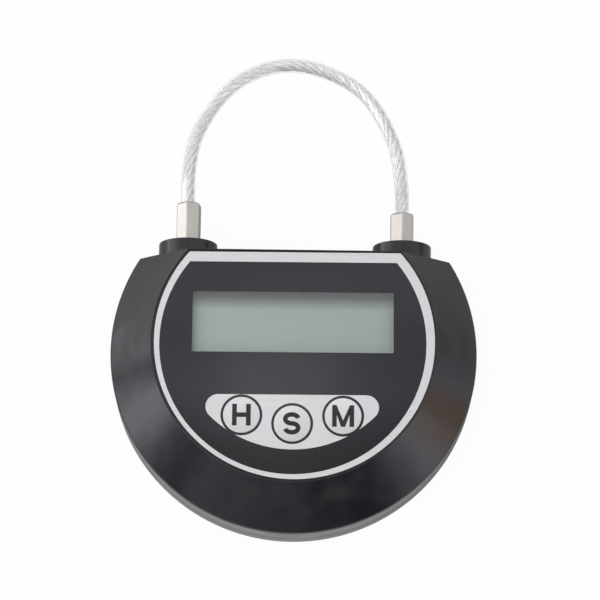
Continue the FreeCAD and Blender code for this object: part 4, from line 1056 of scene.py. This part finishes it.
class PADLOCK_OT_keys(bpy.types.Operator):
    """Makes the three key caps with their letters"""

    bl_idname = "padlock.keys"
    bl_label = "Keys"

    flange_r = 0.00557
    flange_t = 0.0008
    foot_h = 0.0005
    foot_r = 0.0015
    crown_t = 0.00035
    crown_gap = 1e-5  # the cap's radius is less than its crown's by this much
    edge = 0.00022
    stroke = 0.00110
    widths = {"h": 0.00440, "s": 0.00418, "m": 0.00520}
    m_foot = 0.45  # half the width of the M's middle point, in strokes
    m_notch = 1.40  # where its notch ends above the line, in strokes
    m_shoulder = 1.55  # where its slanted strokes leave the legs below the top, in those heights
    m_peak = 0.2  # how far its upper corners reach over the legs, in half points
    s_rise = 1.03  # the S is taller than the other letters by this much
    s_opening = 12  # where the S's ends stand, degrees from level
    s_shift = -0.0001
    bowl_steps = 24
    print_sink = 2e-6  # the letters' feet in the paint

    def cap(self, letter, centre, top, radius):
        foot_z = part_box(f"key_cap_{letter}")[0].z
        flange_z = foot_z + self.foot_h
        flange_top = flange_z + self.flange_t
        step_z = top - self.crown_t
        side = radius - self.crown_gap
        profile = [
            (0, foot_z), (self.foot_r, foot_z), (self.foot_r, flange_z), (self.flange_r, flange_z),
            (self.flange_r, flange_top), (side, flange_top), (side, step_z), (0, step_z),
        ]
        return link(f"key_{letter}_cap", shape(lathe, 2, centre, profile, KEY_STEPS))

    def crown(self, letter, centre, top, radius):
        """The painted top of a key, with a softened edge."""
        edge_z = top - PRINT_T
        low_z = top - self.crown_t
        soft = [(radius - self.edge * inward, edge_z - self.edge * down)
                for inward, down in ((0, 1), (0.1, 0.6), (0.4, 0.2), (1, 0))]
        profile = [(0, low_z), (radius, low_z), *soft, (0, edge_z)]
        return link(f"key_{letter}_crown", shape(lathe, 2, centre, profile, KEY_STEPS))

    def straight_letter(self, letter, height):
        """The outline of H or M, in straight strokes about its middle."""
        half_w = self.widths[letter] / 2
        half_h = height / 2
        inner = half_w - self.stroke
        if letter == "h":
            bar = self.stroke / 2
            return [
                (half_w, half_h), (half_w, -half_h), (inner, -half_h), (inner, -bar), (-inner, -bar),
                (-inner, -half_h), (-half_w, -half_h), (-half_w, half_h), (-inner, half_h), (-inner, bar),
                (inner, bar), (inner, half_h),
            ]
        foot = self.stroke * self.m_foot
        notch = self.stroke * self.m_notch
        shoulder = half_h - notch * self.m_shoulder
        peak = inner + foot * self.m_peak
        return [
            (half_w, half_h), (half_w, -half_h), (inner, -half_h), (inner, shoulder), (foot, -half_h),
            (-foot, -half_h), (-inner, shoulder), (-inner, -half_h), (-half_w, -half_h), (-half_w, half_h),
            (-peak, half_h), (0, -half_h + notch), (peak, half_h),
        ]

    def curved_letter(self, height):
        """The outline of S, as two bowls of one even stroke about its middle."""
        reach = (self.widths["s"] - self.stroke) / 2
        bowl = (height * self.s_rise - self.stroke) / 4
        spine = bmesh.new()
        turn = math.radians(self.s_opening)
        start = spine.verts.new((bowl * math.cos(turn), bowl + bowl * math.sin(turn), 0))
        last = arc(spine, start, (0, bowl, 0), 270 - self.s_opening, self.bowl_steps)
        arc(spine, last, (0, -bowl, 0), self.s_opening - 270, self.bowl_steps)
        bmesh.ops.scale(spine, vec=(reach / bowl, 1, 1), verts=spine.verts)
        middle = [v.co.copy() for v in spine.verts]
        spine.free()
        sides = ([], [])
        for k, point in enumerate(middle):
            ahead = (middle[min(k + 1, len(middle) - 1)] - middle[max(k - 1, 0)]).normalized()
            across = Vector((-ahead.y, ahead.x, 0)) * self.stroke / 2
            for side, offset in zip(sides, (across, -across)):
                side.append((point.x + offset.x + self.s_shift, point.y + offset.y))
        return sides[0] + sides[1][::-1]

    def execute(self, context):
        keys = context.scene.padlock_keys
        skirt = plain_finish("key_silver")
        ink = letter_ink(keys.ink)
        for letter, centre, top in key_places():
            body = f"key_{letter}"
            dress(self.cap(letter, centre, top, keys.radius), body, skirt, "key_silver", f"key_cap_{letter}")
            painted = key_paint(keys.paint, centre)
            dress(self.crown(letter, centre, top, keys.radius), body, painted, "key_silver")
            height = keys.letter_height
            points = self.curved_letter(height) if letter == "s" else self.straight_letter(letter, height)
            level = top - PRINT_T - self.print_sink
            drawn = shape(outline, [(centre.x + x, centre.y + y, level) for x, y in points])
            dress(link(f"key_{letter}_letter", raised(drawn)), body, ink, "key_silver")
        return {"FINISHED"}


class PADLOCK_OT_node_finishes(bpy.types.Operator):
    """Gives every carried-over piece the finish of its material slot"""

    bl_idname = "padlock.node_finishes"
    bl_label = "Finishes of inner pieces"

    def execute(self, context):
        shackle = context.scene.padlock_shackle
        made = {slot: plain_finish(slot) for slot in PLAIN_FINISHES}
        made["clear_lens"] = clear_window()
        made["lcd_glass"] = display_glass()
        made["circuit_board"] = circuit_board()
        made["cell_jacket"] = cell_jacket()
        made["black_shell"] = case_plastic(context.scene.padlock_case.plastic)
        made["overlay_print"] = printed_film(context.scene.padlock_face.film)
        made["ferrule_nickel"] = nickel_plate(shackle.nickel)
        made["rope_steel"] = rope_wire(shackle.steel)
        for part in frame["record"]["subparts"]:
            paint(frame["nodes"][part["node"]], made[part["material_slot"]])
        return {"FINISHED"}


# ================================================================ stage
def rays(tree):
    return node(tree, "ShaderNodeLightPath").outputs


def seen_white(tree):
    """1 for the rays that see the background itself: straight, in gloss or through glass."""
    seen = rays(tree)
    straight = calc(tree, "MAXIMUM", seen["Is Camera Ray"], seen["Is Glossy Ray"])
    return calc(tree, "MAXIMUM", straight, seen["Is Transmission Ray"])


def emission(tree, tone, strength):
    return node(tree, "ShaderNodeEmission", {"Color": tone, "Strength": strength}).outputs[0]


def mixed(tree, factor, first, second):
    """The two shaders mixed; factor is the second one's share."""
    return node(tree, "ShaderNodeMixShader", {"Fac": factor, 1: first, 2: second}).outputs[0]


def cleared(tree):
    return node(tree, "ShaderNodeBsdfTransparent").outputs[0]


def put_out(tree, shader):
    fill(tree.nodes["Material Output"], {"Surface": shader})


def card(half_w, half_h, matrix):
    """A flat reflector with UVs, put in its place by the matrix."""
    bm = bmesh.new()
    bm.loops.layers.uv.new()
    bmesh.ops.create_grid(bm, x_segments=1, y_segments=1, size=1, calc_uvs=True)
    bmesh.ops.scale(bm, vec=(half_w, half_h, 1), verts=bm.verts)
    bmesh.ops.transform(bm, matrix=matrix, verts=bm.verts)
    return bm


class PADLOCK_OT_stage(bpy.types.Operator):
    """Sets the camera, the pale floor and the soft studio light"""

    bl_idname = "padlock.stage"
    bl_label = "Stage"

    sensor = 36.0
    floor_size = 6.0
    gloss_share = 0.30
    seen_share = 0.96
    lamp_place = (-0.6, -0.25, 1.0)
    lamp_aim = (0, 0, 0.01)
    lamp_size = 0.7
    lamp_watts = 3.5
    sky = (0.72, 0.22)  # strength that lights the padlock, and how much less shows in its gloss
    ceiling_place = (0, 0.235, 1.0)
    ceiling_half = 0.11
    ceiling_tone = (0.97, 0.98, 1, 1)
    strip_place = (0, 0.62, 0.99)
    strip_half = (0.30, 0.090)
    strip_glow = 2.4
    panel_distance = 0.9
    # Name, place round the table, lower edge, upper edge and half width in degrees, glow, and the share of
    # the height at which it starts to fade.
    panels = (
        ("left_panel", 164, 0, 70, 12, 1.65, 0.235),
        ("left_front_panel", 188, 13, 58, 8, 1.9, 0.75),
        ("right_front_panel", 326, 13, 58, 9, 1.9, 0.75),
    )
    surround_distance = 0.95
    surround_top = 0.24
    surround_fade = 0.10
    surround_peak = 3.0
    surround = (  # degrees round the table, glow, warmth
        (0, 0.92, 0), (13, 0.42, 0), (25, 0.28, 0), (38, 0.20, 0), (50, 0.36, 0), (75, 0.75, 0),
        (130, 1.3, 0), (145, 1.6, 0), (156, 2.5, 0), (167, 2.5, 0), (176, 0.74, 0), (182, 1.2, 0),
        (188, 2.5, 0), (196, 2.25, 0), (202, 1.4, 0), (209, 0.48, 0), (221, 0.16, 0), (232, 0.54, 0.1),
        (245, 0.42, 0.1), (257, 0.30, 0), (270, 0.17, 0), (281, 0.06, 0), (295, 0.02, 0), (307, 0.0, 0),
        (317, 0.58, 0), (327, 1.20, 0), (333, 1.52, 0.2), (342, 1.36, 0.9), (348, 1.06, 1.3),
        (354, 0.98, 1.3), (358, 0.94, 0.5),
    )
    surround_tone = (1.0, 0.97, 1.07)  # faintly cool
    warm_loss = (0, 0.22, 0.42)  # red, green and blue that a warmth of 1 takes away

    def facing(self, spot, aim):
        """The place and turn of a camera or lamp that looks from spot at aim."""
        turn = (Vector(aim) - Vector(spot)).to_track_quat("-Z", "Y").to_matrix().to_4x4()
        return Matrix.Translation(spot) @ turn

    def camera(self, context, stage):
        elevation = math.radians(stage.elevation)
        azimuth = math.radians(stage.azimuth)
        level = Vector((math.sin(azimuth), -math.cos(azimuth), 0))
        back = level * math.cos(elevation) + Vector((0, 0, math.sin(elevation)))
        data = bpy.data.cameras.new("camera")
        data.sensor_width = self.sensor
        data.lens = stage.lens
        data.clip_start = 0.01
        data.clip_end = 50
        made = add("camera", data)
        view = self.facing(back * stage.distance, (stage.aim_x, stage.aim_y, ROPE_Z))
        made.matrix_world = view @ Matrix.Rotation(math.radians(stage.roll), 4, "Z")
        context.scene.camera = made

    def lamp(self):
        data = bpy.data.lights.new("key_light", "AREA")
        data.shape = "RECTANGLE"
        data.size = self.lamp_size
        data.size_y = self.lamp_size
        data.energy = self.lamp_watts
        add("key_light", data).matrix_world = self.facing(self.lamp_place, self.lamp_aim)

    def world(self, context):
        sky = bpy.data.worlds.new("studio")
        context.scene.world = sky
        sky.use_nodes = True
        tree = sky.node_tree
        light, gloss_loss = self.sky
        seen = between(tree, seen_white(tree), light, 1.0, 0, 1)
        held_back = calc(tree, "MULTIPLY", rays(tree)["Is Glossy Ray"], gloss_loss)
        strength = calc(tree, "SUBTRACT", seen, held_back)
        fill(tree.nodes["Background"], {"Color": (1, 1, 1, 1), "Strength": strength})

    def floor(self, stage):
        made, tree, shader = new_material("floor")
        base = tuple(stage.floor)
        fill(shader, {
            "Base Color": tint(tree, grain(tree, 30, 2.0), shade(base, 0.98), shade(base, 1.02)),
            "Roughness": 0.9,
        })
        gloss = rays(tree)["Is Glossy Ray"]
        x, y, _ = split(tree)
        reach = node(tree, "ShaderNodeVectorMath", {0: place(tree)}, operation="LENGTH").outputs["Value"]
        # Painted shade: seen in gloss, the floor's glow is warmer, dimmer close to the case, brighter to its
        # left and dimmer to its right, in place of the shade that the case's sides mirror.
        near = between(tree, y, 0.80, 0.0, -0.045, -0.022)
        aside = between(tree, x, 1.6, 0.4, -0.20, 0.10)
        far = calc(tree, "MULTIPLY", between(tree, reach, 0, 1, 0.07, 0.12), aside)
        glow_with_painted_shade = between(tree, gloss, 1, calc(tree, "MAXIMUM", near, far), 0, 1)
        glow = emission(tree, tint(tree, gloss, (1, 1, 1), (0.95, 0.91, 0.90)), glow_with_painted_shade)
        share = between(tree, gloss, self.seen_share, self.gloss_share, 0, 1)
        lit = mixed(tree, calc(tree, "MULTIPLY", seen_white(tree), share), shader.outputs[0], glow)
        below = node(tree, "ShaderNodeNewGeometry").outputs["Backfacing"]
        put_out(tree, mixed(tree, below, lit, cleared(tree)))
        bm = bmesh.new()
        bmesh.ops.create_grid(bm, x_segments=4, y_segments=4, size=self.floor_size / 2)
        plane = link("floor", bm)
        paint(plane, made)

    def reflector(self, name, bm, glow):
        """A piece of the stage that only shows in gloss; glow gives its tone, strength and where it shows."""
        finish, tree, _ = new_material(name)
        tone, strength, shown = glow(tree)
        put_out(tree, mixed(tree, shown, cleared(tree), emission(tree, tone, strength)))
        made = link(name, bm)
        paint(made, finish)
        for ray in ("camera", "diffuse", "shadow", "transmission"):
            setattr(made, f"visible_{ray}", False)

    def panel(self, name, azimuth, low, high, half_width, strength, fades_at):
        """An upright soft-edged reflector, with its angles as seen from the padlock."""

        def glow(tree):
            uv = node(tree, "ShaderNodeTexCoord").outputs["UV"]
            u, v, _ = node(tree, "ShaderNodeSeparateXYZ", {"Vector": uv}).outputs
            aside = calc(tree, "ABSOLUTE", calc(tree, "SUBTRACT", u, 0.5))
            ends = calc(tree, "MULTIPLY", between(tree, v, 0, 1, 0, 0.1), between(tree, v, 1, 0, fades_at, 1))
            return (1, 1, 1, 1), strength, calc(tree, "MULTIPLY", between(tree, aside, 1, 0, 0.2, 0.5), ends)

        foot, head = (self.panel_distance * math.tan(math.radians(angle)) for angle in (low, high))
        width = self.panel_distance * math.tan(math.radians(half_width))
        out = Matrix.Rotation(math.radians(azimuth + 90), 4, "Z")
        stand = Matrix.Translation((0, -self.panel_distance, (foot + head) / 2))
        upright = Matrix.Rotation(math.radians(90), 4, "X")
        self.reflector(name, card(width, (head - foot) / 2, out @ stand @ upright), glow)

    def surround_band(self):
        """A band of lighter and darker cards round the table, as the case's slope mirrors them."""

        def glow(tree):
            x, y, z = split(tree)
            away = [calc(tree, "MULTIPLY", way, -1.0) for way in (y, x)]
            turn = calc(tree, "ARCTAN2", *away)  # counted from the -X side, so the ramp starts and ends at +X
            ramp = node(tree, "ShaderNodeValToRGB", {"Fac": between(tree, turn, 0, 1, -math.pi, math.pi)})
            stops = ramp.color_ramp.elements
            stops.remove(stops[1])
            for azimuth, level, warmth in self.surround:
                stop = stops[0] if azimuth == 0 else stops.new(azimuth / 360)
                stop.position = azimuth / 360
                share = level / self.surround_peak
                parts = zip(self.surround_tone, self.warm_loss)
                stop.color = (*(share * tone * (1 - loss * warmth) for tone, loss in parts), 1)
            stops.new(1.0).color = stops[0].color
            shown = between(tree, z, 1, 0, self.surround_top, self.surround_top + self.surround_fade)
            return ramp.outputs["Color"], self.surround_peak, shown

        bm = bmesh.new()
        bmesh.ops.create_circle(bm, cap_ends=False, segments=64, radius=self.surround_distance)
        grown = bmesh.ops.extrude_edge_only(bm, edges=bm.edges[:])
        top = [g for g in grown["geom"] if isinstance(g, bmesh.types.BMVert)]
        bmesh.ops.translate(bm, vec=(0, 0, self.surround_top + self.surround_fade), verts=top)
        self.reflector("surround", bm, glow)

    def ceiling(self):
        """A soft card overhead that the flat face mirrors: dim in front, brightest in its middle."""

        def glow(tree):
            x, y, _ = split(tree)
            front = between(tree, y, 0.46, 1.82, 0.178, 0.213)
            back = between(tree, y, 0, 0.96, 0.2115, 0.250)
            right = between(tree, x, 0, 1.0, 0.007, 0.041)
            left = between(tree, x, 0.76, 0, -0.054, -0.030)
            inward = between(tree, y, 1, 0, 0.225, 0.262)
            sides = calc(tree, "MULTIPLY", calc(tree, "ADD", left, right), inward)
            level = calc(tree, "SUBTRACT", calc(tree, "SUBTRACT", front, back), sides)
            level = calc(tree, "MAXIMUM", level, 0.40)
            rear = between(tree, y, 1, 0.55, 0.292, 0.298)
            return self.ceiling_tone, calc(tree, "MULTIPLY", level, rear), 1.0

        half = self.ceiling_half
        self.reflector("ceiling_card", card(half, half, Matrix.Translation(self.ceiling_place)), glow)

    def strip(self):
        """A long bright card overhead, behind the case, that draws a line of light on the ferrules."""
        bm = card(*self.strip_half, Matrix.Translation(self.strip_place))
        self.reflector("strip", bm, lambda tree: ((1, 1, 1, 1), self.strip_glow, 1.0))

    def execute(self, context):
        stage = context.scene.padlock_stage
        self.camera(context, stage)
        self.floor(stage)
        self.world(context)
        self.lamp()
        for values in self.panels:
            self.panel(*values)
        self.surround_band()
        self.ceiling()
        self.strip()
        context.scene.view_settings.view_transform = "Standard"
        return {"FINISHED"}


# ================================================================ add-on
class PADLOCK_PT_panel(bpy.types.Panel):
    """Lists the padlock's pieces and their sizes"""

    bl_idname = "PADLOCK_PT_panel"
    bl_label = "Timed padlock"
    bl_space_type = "VIEW_3D"
    bl_region_type = "UI"
    bl_category = "Padlock"

    def draw(self, context):
        for operator in OPERATORS:
            self.layout.operator(operator.bl_idname)
        for name, group in GROUPS.items():
            box = self.layout.box()
            for key in group.__annotations__:
                box.prop(getattr(context.scene, name), key)


OPERATORS = (
    PADLOCK_OT_stage,
    PADLOCK_OT_rope,
    PADLOCK_OT_node_finishes,
    PADLOCK_OT_ferrules,
    PADLOCK_OT_plug_pin,
    PADLOCK_OT_front_shell,
    PADLOCK_OT_back_shell,
    PADLOCK_OT_overlay,
    PADLOCK_OT_display,
    PADLOCK_OT_keys,
)


def register():
    for name, group in GROUPS.items():
        bpy.utils.register_class(group)
        setattr(bpy.types.Scene, name, PointerProperty(type=group))
    for operator in (*OPERATORS, PADLOCK_PT_panel):
        bpy.utils.register_class(operator)


def unregister():
    for operator in (PADLOCK_PT_panel, *reversed(OPERATORS)):
        bpy.utils.unregister_class(operator)
    for name, group in GROUPS.items():
        delattr(bpy.types.Scene, name)
        bpy.utils.unregister_class(group)


def main():
    register()
    bpy.ops.padlock.stage()
    bpy.ops.padlock.rope()
    bpy.ops.padlock.node_finishes()
    bpy.ops.padlock.ferrules()
    bpy.ops.padlock.plug_pin()
    bpy.ops.padlock.front_shell()
    bpy.ops.padlock.back_shell()
    bpy.ops.padlock.overlay()
    bpy.ops.padlock.display()
    bpy.ops.padlock.keys()


if __name__ == "__main__":
    main()
